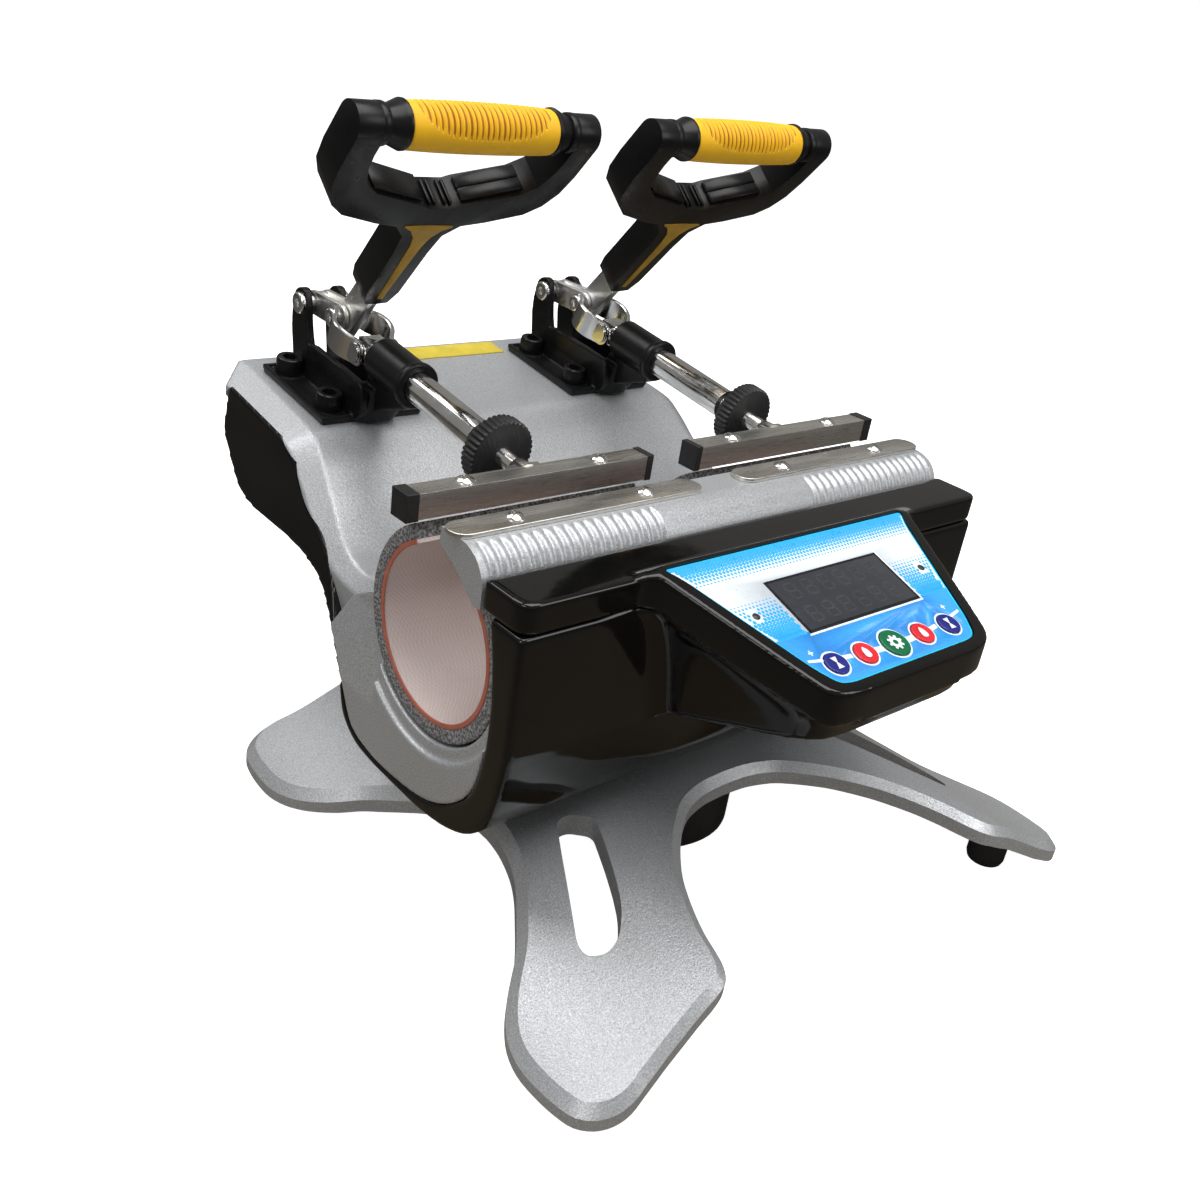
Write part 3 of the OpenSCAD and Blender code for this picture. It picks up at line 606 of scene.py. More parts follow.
def base():
    """Top and underside are meshed flat, lifted to their heights and joined round a chamfered rim."""
    leg = [(x * 0.9990, y * 0.9985) for x, y in spline(LEG_PLAN, 3)]
    rear = [(x, max(y, 11 + math.sqrt(max(0, 54 * 54 - x * x)))) for x, y in leg]
    half = [(x, -y) for x, y in leg] + list(reversed(rear[:-1]))
    rim = [(x, y + HUB_Y) for x, y in half + [(-x, y) for x, y in reversed(half[1:-1])]]
    flat = inset(rim, 5.0)
    slots = [[(a * x, b * y + HUB_Y) for x, y in LEG_SLOT] for a, b in CORNERS]
    def solid(p):
        return inside(p, flat) and not any(inside(p, hole) for hole in slots)
    outline, edges = [], []
    for loop in [flat] + slots:
        n = len(outline)
        outline += loop
        edges += [(n + i, n + (i + 1) % len(loop)) for i in range(len(loop))]
    grid = [(i * 6.8 + 0.3, k * 6.8 - 50) for i in range(-28, 29) for k in range(-30, 25)]
    fill = [(gx, gy) for gx, gy in grid
            if solid((gx, gy)) and min((gx - x) ** 2 + (gy - y) ** 2 for x, y in outline) > 9]
    found = delaunay_2d_cdt([Vector(p) for p in outline + fill], edges, [], 0, 1e-4)
    cv, triangles = found[0], found[2]
    n, k = len(cv), len(rim)
    v = [(p.x, p.y, along(abs(p.x), BASE_TOP)) for p in cv]
    v += [(p.x, p.y, along(abs(p.x), BASE_LOW)) for p in cv]
    f = []
    for t in triangles:
        if solid((sum(cv[i].x for i in t) / 3, sum(cv[i].y for i in t) / 3)):
            f += [tuple(t), tuple(n + i for i in reversed(t))]
    key = {(round(p.x, 2), round(p.y, 2)): i for i, p in enumerate(cv)}
    ids = [[key[(round(x, 2), round(y, 2))] for x, y in loop] for loop in [flat] + slots]
    for hole in ids[1:]:
        f += [(hole[i - 1], hole[i], n + hole[i], n + hole[i - 1]) for i in range(len(hole))]
    columns = [(a, 2 * n + i, 2 * n + k + i, n + a) for i, a in enumerate(ids[0])]
    v += [(x, y, along(abs(x), BASE_TOP) - 4.8) for x, y in rim]
    v += [(x, y, along(abs(x), BASE_LOW)) for x, y in rim]
    for i in range(k):
        a, b = columns[i - 1], columns[i]
        f += [(a[j], b[j], b[j + 1], a[j + 1]) for j in range(3)]
    o = temp((v, f))
    edge_mod(o, 0.7, 2, 28)
    bake(o, 40)
    mod(o, "WEIGHTED_NORMAL", keep_sharp=True)
    dress(o, "base_skin", "silver_paint", "machine", ("base_casting",))
    pads = [prism(disc(a * 156, b * 134 + HUB_Y, 12.6, 44), 17, 26, "xy") for a, b in CORNERS]
    bevel(new_obj("foot_pads", join(*pads), "silver_paint", "machine"), 0.6, 2, 50)
    hub = bpy.data.objects.new("hub_skin", NODES["hub_cover"].data.copy())
    coll.objects.link(hub)
    mod(hub, "WELD", merge_threshold=1e-5)
    skin(hub, 1.0, 3, 0.4, 60)
    dress(hub, "hub_skin", "black_plastic", "machine", ("hub_cover",))

def edge_cutter(s, path):
    """Five-sided bar along the housing's upper edge; it cuts the chamfer."""
    rings = []
    for i, (y, z) in enumerate(path):
        (y0, z0), (y1, z1) = path[max(0, i - 1)], path[min(len(path) - 1, i + 1)]
        d = math.hypot(y1 - y0, z1 - z0)
        ny, nz = (z0 - z1) / d, (y1 - y0) / d
        if nz < 0:
            ny, nz = -ny, -nz
        side = along(z, [(h, x) for x, h in FLARE])
        wide, deep = 8 + 9 * min(1, max(0, (y - 70) / 90)), 8.0
        inner, low = -wide - wide / deep, -deep - 1.5 * deep / wide
        bar = ((inner, 1), (1.5, low), (14, low), (14, 14), (inner, 14))
        rings.append([(s * (side + dx), y + ny * dn, z + nz * dn) for dx, dn in bar])
    return loft(rings)

def housing():
    side = [(141, 197.3), (226, 208.0)] + REAR[1:] + J_CURVE[1:]
    side += [(-79, 190.5), (-68, 198.5), (-60, 150), (-20, 130)] + CRADLE[:-1]
    o = temp(prism(side, -156, 156))
    boolean(o, flared_body(), "INTERSECT")
    path = [(245, 210.4), (226, 208)] + list(reversed(CRADLE)) + [(2, 149.5)]
    for s in (-1, 1):
        boolean(o, edge_cutter(s, path))
        corner = [(s * 150.4, 210), (s * 175, 210), (s * 175, 240), (s * 120.5, 240)]
        boolean(o, prism(corner, 150, 240, "xy"))
    boolean(o, rod(BORE, 55.2, -200, 200, 96))
    skin(o, 1.3, 3)
    for s in (-1, 1):
        boolean(o, prism(PANEL, s * 145.8, s * 200))
    mark_smooth(o.data, 45)
    dress(o, "housing_skin", "silver_paint", "machine", ("rear_housing",))
    for name, s in SIDES:
        p = temp(prism(PANEL, s * 145.4, s * 180))
        boolean(p, flared_body(-0.6), "INTERSECT")
        boolean(p, prism([(210, 60), (210, 230), (20, 230), (20, 60)], -200, 200), "INTERSECT")
        skin(p, 1.2, 4)
        dress(p, "side_panel_skin_" + name, "gloss_black", "machine", ("side_panel_" + name,))

def end_frames():
    inner = [(-79, 190.5), (-68, 198), (-60, 175), (-20, 130), (20, 150), (38, 140), (52, 116), (42, 107)]
    outside = [(200, 200), (168.3, 200), (168.3, 94), (163, 118), (157.8, 140), (157.2, 201), (200, 201)]
    for name, s in SIDES:
        o = temp(prism(J_CURVE + inner, *sorted((s * 156.2, s * HALF))))
        boolean(o, rod(BORE, 55.4, -200, 200, 96))
        boolean(o, rod(BORE, 62.5, *sorted((s * 165.2, s * 172)), 96))
        boolean(o, prism([(s * x, z) for x, z in outside], -2, 80, "xz"))
        skin(o, 0.9, 4, 0.5)
        dress(o, "end_frame_skin_" + name, "silver_paint", "machine", ("end_frame_" + name,))

def shell():
    prof = spline([(33, 92), (27, 73), (14, 63.5), (0, 60.8), (-28, 60.2), (-55, 61), (-77, 65.2),
                   (-93, 73), (-104, 86), (-110.5, 102), (-113.4, 117), (-114.6, 126)], 5)
    prof += [(-115, 128), (-115, 191.8), (-92, 191.8)] + list(reversed(J_CURVE))
    o = temp(prism(prof, -HALF, HALF))
    edge_mod(o, 5, 4, 60)
    bake(o)
    # the console's underside narrows as it goes down to the belly
    rings = []
    for k in range(11):
        t = k / 10
        h = t ** 0.55
        ring = []
        for x, y in console_outline(2.2):
            z0 = con_z(min(y, -112)) - 17.4
            w = min(1.0, max(0.0, (-115 - y) / 75))
            if abs(x) > 91.2:
                bx = math.copysign(abs(x) - 91.2 * 0.235, x)
            else:
                bx = x * (0.765 + 0.155 * w)
            z1 = 127 + 0.29 * (-115 - y)
            ring.append((x + (bx - x) * h, y + 5 * w * h, z0 + (z1 - z0) * t))
        rings.append(ring)
    boolean(o, loft(rings), "UNION")
    skin(o, 1.3, 14)
    dress(o, "lower_shell_skin", "gloss_black", "machine", ("lower_shell",))

def cover():
    wing = rounded(rect(-HALF, -84.4, HALF, -115.2), [2, 2, 9, 9], 8)
    o = temp(prism(wing, 192.2, 207.8, "xy"))
    boolean(o, slab(console_outline(0.0), 1.2, 18.6), "UNION")
    boolean(o, prism([(-112.5, 209.4), (-112.5, 230), (-60, 230), (-60, 209.4)], -200, 200))
    for s in (-1, 1):
        above = [(87, 211.4), (105, 207.8), (200, 207.8), (200, 230), (87, 230)]
        boolean(o, prism([(s * x, z) for x, z in above], -128, -60, "xz"))
    skin(o, 1.0, 18)
    boolean(o, slab(panel_outline(0.6), 12, 12.9))
    mark_smooth(o.data, 40)
    dress(o, "front_cover_skin", "gloss_black", "machine", ("front_cover",))

# ------------------------------------------------------------------ ridge, overlay and buttons
def ridge():
    """Fluted cap: the flutes fade out towards the top and the foot, and the middle has none."""
    prof = rounded([(-49, 218), (-70, 218), (-79, 213.6), (-84, 205), (-84, 190.9)],
                   [1.2, 7, 7, 6, 1.0], 6)
    under = [(-79, 190.9), (-73.5, 195.2), (-68, 199.3), (-58.5, 205.4), (-50.6, 208.8), (-49, 210)]
    run = [0.0]
    for a, b in zip(prof, prof[1:]):
        run.append(run[-1] + (Vector(a) - Vector(b)).length)
    depth = []
    for j, (y, z) in enumerate(prof):
        w = min(1, max(0, (run[j] - 20.5) / 2.5)) * min(1, max(0, (run[-1] - 5 - run[j]) / 3))
        t = Vector(prof[min(j + 1, len(prof) - 1)]) - Vector(prof[max(j - 1, 0)])
        nrm = Vector((t.y, -t.x)).normalized()
        if nrm.dot(Vector((y + 70, z - 200))) > 0:
            nrm = -nrm
        depth.append(nrm * w)
    rings, steps = [], 560
    for i in range(steps + 1):
        x = HALF * (2 * i / steps - 1)
        d = 0.0
        if 55.5 < abs(x) < 164.5:
            d = 1.25 * (0.5 + 0.5 * math.cos(2 * math.pi * (abs(x) - 58) / 6.1)) ** 1.6
        rings.append([(x, y + q.x * d, z + q.y * d) for (y, z), q in zip(prof, depth)]
                     + [(x, y, z) for y, z in under])
    new_obj("ridge_skin", loft(rings), "silver_paint", "machine", ("ridge_cap",), angle=50)
    for name, s in SIDES:
        ends = [(s * STATION + k * 70, -58.7) for k in (-1, 1)]
        strip = prism(capsule(*ends, 8, 8, 24), 218, 220.4, "xy")
        o = new_obj("strip_skin_" + name, strip, "stainless", "machine", ("strip_" + name,))
        bevel(o, 0.45, 3, 50)

# x, radius and colour of each button
BUTTONS = [(-44.2, 6.4, "button_navy"), (-23, 6.4, "button_red"), (-1, 8.2, "button_green"),
           (21, 6.4, "button_red"), (42.6, 6.4, "button_navy")]
DISPLAY_HOLE = rect(-42.4, -136.4, 42.4, -170.0)
DISPLAY = (-42.1, -136.7, 42.1, -169.8)

def sheet(outline, up, thick):
    """A printed sheet with its display and button holes."""
    o = temp(slab(outline, up, thick))
    boolean(o, slab(DISPLAY_HOLE, up + 3, 8))
    for x, r, _ in BUTTONS:
        boolean(o, lathe([(r + 0.35, -6), (r + 0.35, 6)]), m=console_m(x, BUTTON_Y))
    return o

def halftone(inner):
    """Two fields of dots that shrink towards the white between them."""
    dots = []
    hole = rect(-44, -135, 44, -171.5)
    row, y = 0, -117.0
    while y > -168.6:
        k = 0.0
        if y > -131:
            k = 1 - (-117.5 - y) / 13.0
        elif y < -143:
            k = 1 - (y + 167.5) / 23.0
        if k > 0.04:
            r = 1.55 * k ** 0.42
            x = -92 + (row % 2) * 1.2
            while x < 92:
                dot = disc(x, y, r, 6)
                sign = abs(abs(x) - 63) <= 3.2 and abs(y + 153) <= 3.2
                if not sign and not inside((x, y), hole) and all(inside(p, inner) for p in [(x, y)] + dot):
                    dots.append(slab(dot, 0.50))
                x += 2.4
        y -= 2.05
        row += 1
    return dots

def overlay():
    full = panel_outline()
    c = Vector((0, -156))
    inner = [tuple(Vector(p) + (c - Vector(p)).normalized() * 1.1) for p in full]
    o = sheet(full, 0.42, 1.0)
    mark_smooth(o.data, 30)
    dress(o, "overlay_sheet", "print_edge", "machine", ("control_panel",))
    # printed bands, a hair above the sheet
    for lo, hi, up, mat, name in ((-168.6, -110, 0.46, "print_white", "overlay_white"),
                                  (-210, -168.6, 0.46, "print_blue", "overlay_lower"),
                                  (-118.2, -110, 0.48, "print_cyan", "overlay_top")):
        dress(sheet(clip_y(inner, lo, hi), up, 0.06), name, mat, "machine", ())
    patch("overlay_halftone", halftone(inner), "print_cyan")
    # bow through the buttons
    lines, up, lo = [], [], []
    for i in range(49):
        x = -67 + 143 * i / 48
        y = -189.3 + 9.0 * (x / 70) ** 2
        w = 1.9 * (1 - abs(x) / 95)
        up.append((x, y + w))
        lo.append((x, y - w))
    for i in range(48):
        q = [up[i], up[i + 1], lo[i + 1], lo[i]]
        mx, my = (q[0][0] + q[2][0]) / 2, (q[0][1] + q[2][1]) / 2
        clear = all((mx - x) ** 2 + (my - BUTTON_Y) ** 2 > (r + 0.9) ** 2 for x, r, _ in BUTTONS)
        if clear and all(inside(p, inner) for p in [(mx, my)] + q):
            lines.append(slab(q, 0.52))
    # white ring round each button
    for x, r, _ in BUTTONS:
        for i in range(48):
            a, b = 2 * math.pi * i / 48, 2 * math.pi * (i + 1) / 48
            q = [(x + reach * math.cos(t), BUTTON_Y + reach * 0.954 * math.sin(t))
                 for reach, t in ((r + 0.35, a), (r + 1.35, a), (r + 1.35, b), (r + 0.35, b))]
            lines.append(slab(q, 0.53))
    # line beside and below the display
    x1, y0, y1 = 43.6, -135.2, -171.2
    lines.append(slab([(x1, y0), (x1, y1), (x1 - 1.1, y1 + 1.1), (x1 - 1.1, y0)], 0.52))
    lines.append(slab([(x1, y1), (-x1, y1), (-x1 + 0.8, y1 + 1.1), (x1 - 1.1, y1 + 1.1)], 0.52))
    # small plus marks stand for the printed signs
    for x, y in ((-52.5, -179.5), (50.5, -178.5)):
        lines.append(slab(rect(x - 1.5, y - 0.4, x + 1.5, y + 0.4), 0.52))
        lines.append(slab(rect(x - 0.4, y - 1.5, x + 0.4, y + 1.5), 0.53))
    patch("overlay_lines", lines, "print_white")

def display():
    glass = slab(rounded(rect(*DISPLAY), 0.8, 3), 0.75, 2.6)
    bevel(new_obj("display_glass", glass, "display", "machine", ("display_window",)), 0.3, 2, 50)
    x0, y0, x1, y1 = DISPLAY
    wide = 1.3
    edge = [rect(x0, y0, x1, y0 - wide), rect(x0, y1, x1, y1 + wide),
            rect(x0, y0, x0 + wide, y1), rect(x1, y0, x1 - wide, y1)]
    patch("display_border", [slab(q, 0.79) for q in edge], "print_black")
    # two rows of unlit seven-segment digits
    seg = []
    w, h, t = 3.2, 4.6, 0.55
    for y in (-145.5, -160.5):
        for x in (-30 + 12 * i for i in range(6)):
            for dy in (h, 0, -h):
                seg.append(rect(x - w + t, y + dy - t, x + w - t, y + dy + t))
            for dx, ya, yb in ((-w, 0, h), (w, 0, h), (-w, -h, 0), (w, -h, 0)):
                seg.append(rect(x + dx - t, y + ya + t, x + dx + t, y + yb - t))
    patch("display_segments", [slab(q, 0.785, 0.03) for q in seg], "print_ghost")

def buttons():
    """Caps with a drop, an hourglass or a gear, none of them a maker's sign."""
    drop = []
    for t in (2 * math.pi * k / 24 for k in range(24)):
        low = 0.8 if math.cos(t) < 0 else 0
        drop.append((1.9 * math.sin(t) * (1 - 0.45 * math.cos(t)), 0.6 + 2.9 * math.cos(t) - low))
    hourglass = [(-1.9, 3.4), (1.9, 3.4), (0.35, 0), (1.9, -3.4), (-1.9, -3.4), (-0.35, 0)]
    gear = []
    for k in range(64):
        tooth = 4.6 if (k // 4) % 2 == 0 else 3.4
        gear.append((tooth * math.cos(2 * math.pi * k / 64), tooth * math.sin(2 * math.pi * k / 64)))
    glyphs = {"button_red": drop, "button_navy": hourglass, "button_green": gear}
    for i, (x, r, mat) in enumerate(BUTTONS, 1):
        body, at = "button_%d" % i, console_m(x, BUTTON_Y)
        prof = [(0.01, 1.15), (r * 0.45, 1.2), (r * 0.8, 1.42), (r - 0.45, 1.5), (r - 0.1, 1.3),
                (r, 0.9), (r, -3.5), (0.01, -3.5)]
        new_obj("button_cap_%d" % i, lathe(prof, 56), mat, body, (body,), m=at, angle=50)
        if mat == "button_green":
            hub = moved(prism(disc(0, 0, 1.5, 20), 1.5, 1.58, "xy"), at)
            patch("button_mark_hub", [hub], mat, body)
        mark = moved(prism(glyphs[mat], 1.47, 1.53, "xy"), at)
        patch("button_mark_%d" % i, [mark], "print_white", body)

# ------------------------------------------------------------------ heater wraps
def sector(r0, r1, a0, a1, x0, x1, soft):
    """Part of a sleeve round the bore, between two angles in degrees."""
    section = rounded([(x0, r0), (x1, r0), (x1, r1), (x0, r1)], soft, 3)
    n = max(6, int((a1 - a0) / 3))
    rings = []
    for i in range(n + 1):
        a = math.radians(a0 + (a1 - a0) * i / n)
        rings.append([(x, BORE[0] + r * math.cos(a), BORE[1] + r * math.sin(a)) for x, r in section])
    return loft(rings)

def wraps():
    """Each layer is a front part that stays with the machine and a lip, the part that the plunger lifts; the
    lip is left unattached.
    """
    for name, s in SIDES:
        x0, x1 = s * STATION - 71, s * STATION + 71
        layers = [("foam", "foam", "foam", (46.4, 54.1), (136, 64), (x0, x1), 1.2),
                  ("liner", "liner", "liner", (44.4, 46.3), (102, 65), (x0 + 0.3, x1 - 0.3), 0.4),
                  ("edge", "wrap_edge", "liner", (43.9, 46.5), (102, 65), (x0, x0 + 0.9), 0.4),
                  ("edge2", "wrap_edge", "liner", (43.9, 46.5), (102, 65), (x1 - 0.9, x1), 0.4)]
        for kind, mat, slot, (r0, r1), (start, stop), (xa, xb), soft in layers:
            piece = "wrap_%s_%s_" + name
            front = new_obj(piece % (kind, "front"), sector(r0, r1, start, 360, xa, xb, soft), mat, angle=50)
            own(front, "machine", ("wrap_%s_%s" % (kind, name),) if kind == mat else ())
            lip = new_obj(piece % (kind, "lip"), sector(r0, r1, 0, stop, xa, xb, soft), mat, angle=50)
            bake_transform(lip)

# ------------------------------------------------------------------ handles, levers and clamps
def grip_field(x, deg):
    """Below 1 inside the grip's oval ribbed field."""
    return (abs(x) / 39) ** 3.2 + (abs(deg - 22) / 88) ** 2.4

def grip_rib(x):
    return 0.5 + 0.5 * math.cos(2 * math.pi * x / 3.25)

def handle_frame(name, lm):
    half = [(0, 118.5), (8, 118.5), (13, 121), (43, 130), (52, 137), (56, 149), (57, 158), (71.2, 158),
            (71.2, 146), (69.6, 132), (64.5, 121), (56, 113.5), (34, 106.5), (20, 103.5), (12.5, 95),
            (11, 80), (10.4, 42), (7.4, 32), (0, 31)]
    o = temp(prism(half + [(-x, z) for x, z in reversed(half[1:-1])], -11.8, 8, "xz"))
    top = (math.pi * i / 18 for i in range(1, 18))
    arm = [(-11.8, 150), (8, 150), (8, GRIP_Z)]
    arm += [(-1.9 + 9.9 * math.cos(a), GRIP_Z + 9.9 * math.sin(a)) for a in top] + [(-11.8, GRIP_Z)]
    for k in (-1, 1):
        boolean(o, prism(arm, *sorted((k * 57, k * 71.2))), "UNION")
    mod(o, "WELD", merge_threshold=2e-5)
    edge_mod(o, 2.8, 3, 60)
    edge_mod(o, 0.8, 3, 28)
    bake(o, 40)
    place(o, lm)
    dress(o, "handle_skin_" + name, "black_paint", "lever_" + name, ("handle_" + name,))

def handle_details(name, lm):
    """Collars and ferrules at the grip's ends, creased inserts inside the fork, and short ribs."""
    collar = [(0.01, 53.2), (8.8, 53.3), (9.7, 53.8), (10.1, 55.0), (10.1, 58), (0.01, 58)]
    ferrule = [(0.01, 43.0), (11.2, 43.1), (11.8, 43.7), (11.9, 45.0), (11.4, 46.2), (8.7, 52.6),
               (8.6, 54.0), (0.01, 54.0)]
    foot, tip = Vector((10.5, 119.8)), Vector((47.5, 131.6))
    d = (tip - foot).normalized()
    nrm = Vector((-d.y, d.x))
    a, b = foot + d * 2, tip - d * 1.5
    parts = []
    for k in (-1, 1):
        m = Matrix.Translation((0, -1.9, GRIP_Z)) @ Matrix.Rotation(k * math.pi / 2, 4, "Y")
        parts += [moved(lathe(prof, 64, False), m) for prof in (collar, ferrule)]
        for n0, n1, h in ((-9.4, -2.2, 2.8), (-1.9, 5.8, 2.8)) if k > 0 else ((-9.4, 5.8, 3.0),):
            insert = (a - nrm, b - nrm, b + nrm * (h - 0.8), b - d * 0.9 + nrm * h,
                      a + d * 0.9 + nrm * h, a + nrm * (h - 0.8))
            parts.append(prism([(k * x, z) for x, z in insert], n0, n1, "xz"))
    parts += [prism(rect(x - 0.9, 116, x + 0.9, 120.4), -9.4, 5.6, "xz") for x in (-6.4, -3.2, 3.2, 6.4)]
    o = temp(join(*parts))
    edge_mod(o, 0.5, 2, 50)
    bake(o, 40)
    place(o, lm)
    dress(o, "handle_details_" + name, "black_paint", "lever_" + name)

def grip(name, lm):
    """A barrel with ribs inside an oval field; the grooves get a darker material, which is painted shade."""
    rings, steps, n, end = [], 260, 88, 43.6
    for i in range(steps + 1):
        x = end * (2 * i / steps - 1)
        r0 = 12.1 - 0.95 * (abs(x) / end) ** 2.2
        e = (end - abs(x)) / 1.4
        if e < 1:
            r0 -= 1.3 * (1 - math.sqrt(max(0, 1 - (1 - e) ** 2)))
        ring = []
        for a in (2 * math.pi * j / n for j in range(n)):
            w = min(1, max(0, (1 - grip_field(x, (math.degrees(a) + 180) % 360 - 180)) * 7))
            r = r0 + 0.15 * w - 1.45 * w * (1 - grip_rib(x) ** 0.7)
            ring.append((x, -2.2 + r * math.sin(a), GRIP_Z + r * math.cos(a)))
        rings.append(ring)
    o = new_obj("grip_skin_" + name, loft(rings), "yellow_grip", "lever_" + name, ("grip_" + name,),
                m=lm, angle=60)
    # faces in the grooves of the ribbed field take this darker material: painted shade
    o.data.materials.append(M["painted_groove_shade"])
    back = (Matrix.Scale(0.001, 4) @ lm @ Matrix.Scale(1000, 4)).inverted()
    for p in o.data.polygons:
        c = back @ p.center * 1000
        if grip_field(c.x, math.degrees(math.atan2(c.y + 2.2, c.z - GRIP_Z))) < 0.97 and grip_rib(c.x) < 0.22:
            p.material_index = 1

def handle(name, s):
    lm = lever_m(s)
    handle_frame(name, lm)
    handle_details(name, lm)
    grip(name, lm)
    # Y-shaped inlay on the stem's front face
    half = [(1.7, 37), (2.0, 46), (2.9, 70), (3.7, 86), (5.4, 94), (9.5, 100), (15.0, 103.2),
            (14.6, 104.3), (0, 104.8)]
    inlay = prism(half + [(-x, z) for x, z in reversed(half[:-1])], -12.4, -11.0, "xz")
    o = bevel(temp(inlay), 0.35, 2, 50)
    place(o, lm)
    dress(o, "inlay_skin_" + name, "inlay_yellow", "lever_" + name, ("inlay_" + name,))

def pin(at, half, shaft, head, r, hexr):
    """A pin along X with a low domed head at each end, each with a hexagon socket."""
    t = 2.5
    prof = [(0.01, 0), (r, 0), (r, t * 0.55), (r - 0.35, t * 0.85), (r - 1.1, t), (hexr + 0.5, t + 0.05)]
    screw = socket_head(prof, [(hexr, t), (hexr, t - 1.4), (0.01, t - 1.7)], 48)
    parts = [rod(at, shaft, -half, half, 32)]
    for k in (1, -1):
        m = Matrix.Translation((k * head, *at)) @ Matrix.Rotation(k * math.pi / 2, 4, "Y")
        parts.append(moved(screw, m))
    return join(*parts)

def lever(name, s):
    plates = [prism(capsule(RING_PIN, BASE_PIN, 7.6, 7.2), *sorted((k * 3.3, k * 6.1))) for k in (-1, 1)]
    m = Matrix.Translation((0, *RING_PIN)) @ Matrix.Rotation(LEAN, 4, "X")
    bar = moved(prism(rect(-10.2, -6, 6.8, 56), -3.0, 3.0), m)
    o = bevel(temp(join(*plates, bar, rod(BASE_PIN, 6.6, -6.3, 6.3, 40))), 0.5, 3, 50)
    place(o, clamp_m(s))
    dress(o, "lever_skin_" + name, "lever_steel", "lever_" + name, ("lever_" + name,))
    new_obj("lever_pin_" + name, pin(RING_PIN, 10.6, 3.4, 10.1, 5.6, 2.6), "chrome", "lever_" + name,
            m=clamp_m(s), angle=40)
    new_obj("pivot_pin_skin_" + name, pin(BASE_PIN, 14.2, 3.9, 14.05, 6.5, 2.9), "chrome", "machine",
            ("pivot_pin_" + name,), m=clamp_m(s), angle=40)

def ring(name, s):
    """Two bowed arms swept along one path, with round ends that hold the pins."""
    m = clamp_m(s) @ Matrix.Rotation(math.atan2(RING_PIN[1], RING_PIN[0]), 4, "X")
    far = 32.52                 # from pin to pin
    path = spline([(10.55, -7.4), (10.6, 0), (12.4, 3.6), (15.4, 8.5), (17.0, 14), (16.9, 18.5),
                   (15.0, 24), (11.0, 28.4), (8.7, far), (8.6, 39.6)], 8)
    arms = []
    for k in (-1, 1):
        rings = []
        for i, (x, y) in enumerate(path):
            t = Vector(path[min(i + 1, len(path) - 1)]) - Vector(path[max(i - 1, 0)])
            nr = Vector((t.y, -t.x)).normalized() * 1.35
            if y < 0:
                h = math.sqrt(max(0.02, 1 - (y / 7.5) ** 2)) * 7.9
            elif y > far:
                h = math.sqrt(max(0.02, 1 - ((y - far) / 7.2) ** 2)) * 7.2
            else:
                u = y / far
                h = 7.9 * (1 - u) + 7.2 * u + 0.9 * math.sin(math.pi * u)
            rings.append([(k * (x + nr.x * side), y + nr.y * side, z - 0.5)
                          for side, z in ((1, h - 0.5), (0.6, h), (-0.6, h), (-1, h - 0.5),
                                          (-1, 0.5 - h), (-0.6, -h), (0.6, -h), (1, 0.5 - h))])
        arms.append(loft(rings))
    new_obj("ring_skin_" + name, join(*arms), "chrome", "ring_" + name, ("ring_" + name,), m=m, angle=40)

def knob(name, s):
    n, rim = 360, []
    for a in (2 * math.pi * i / n for i in range(n)):
        wave = math.cos(40 * a)
        r = 19.4 + 0.5 * math.copysign(abs(wave) ** 0.6, wave)
        rim.append((r * math.cos(a), r * math.sin(a)))
    levels = [(-131.5, 0.93), (-131.3, 0.965), (-130.4, 1.0), (-122.6, 1.0), (-121.7, 0.965),
              (-121.5, 0.93)]
    disk = loft([[(x * k, y, z * k) for x, z in rim] for y, k in levels])
    prof = [(0.01, -121.6), (15.5, -121.6), (15.2, -120.6), (12.4, -117.6), (11.2, -117),
            (5.3, -117), (0.01, -117)]
    hub = moved(lathe(prof, 56, False), Matrix.Rotation(-math.pi / 2, 4, "X"))
    new_obj("knob_skin_" + name, join(disk, hub), "black_plastic", "knob_" + name, ("knob_" + name,),
            m=clamp_m(s), angle=32)

BOLTS = [(x, y) for x in (-22, 22) for y in (6, 55)]    # in the clamp's frame

def bolts(name, s):
    prof = [(0.01, -36.4), (7.9, -36.4), (7.9, -28.0), (7.5, -26.9), (6.9, -26.5), (5.2, -26.5)]
    head = socket_head(prof, [(4.7, -26.6), (4.6, -31.5), (0.01, -31.9)], 60, (1, 2))
    parts = [moved(head, Matrix.Translation((x, y, 0))) for x, y in BOLTS]
    new_obj("clamp_bolt_skin_" + name, join(*parts), "bolt_black", "machine", ("clamp_bolts_" + name,),
            m=clamp_m(s), angle=32)

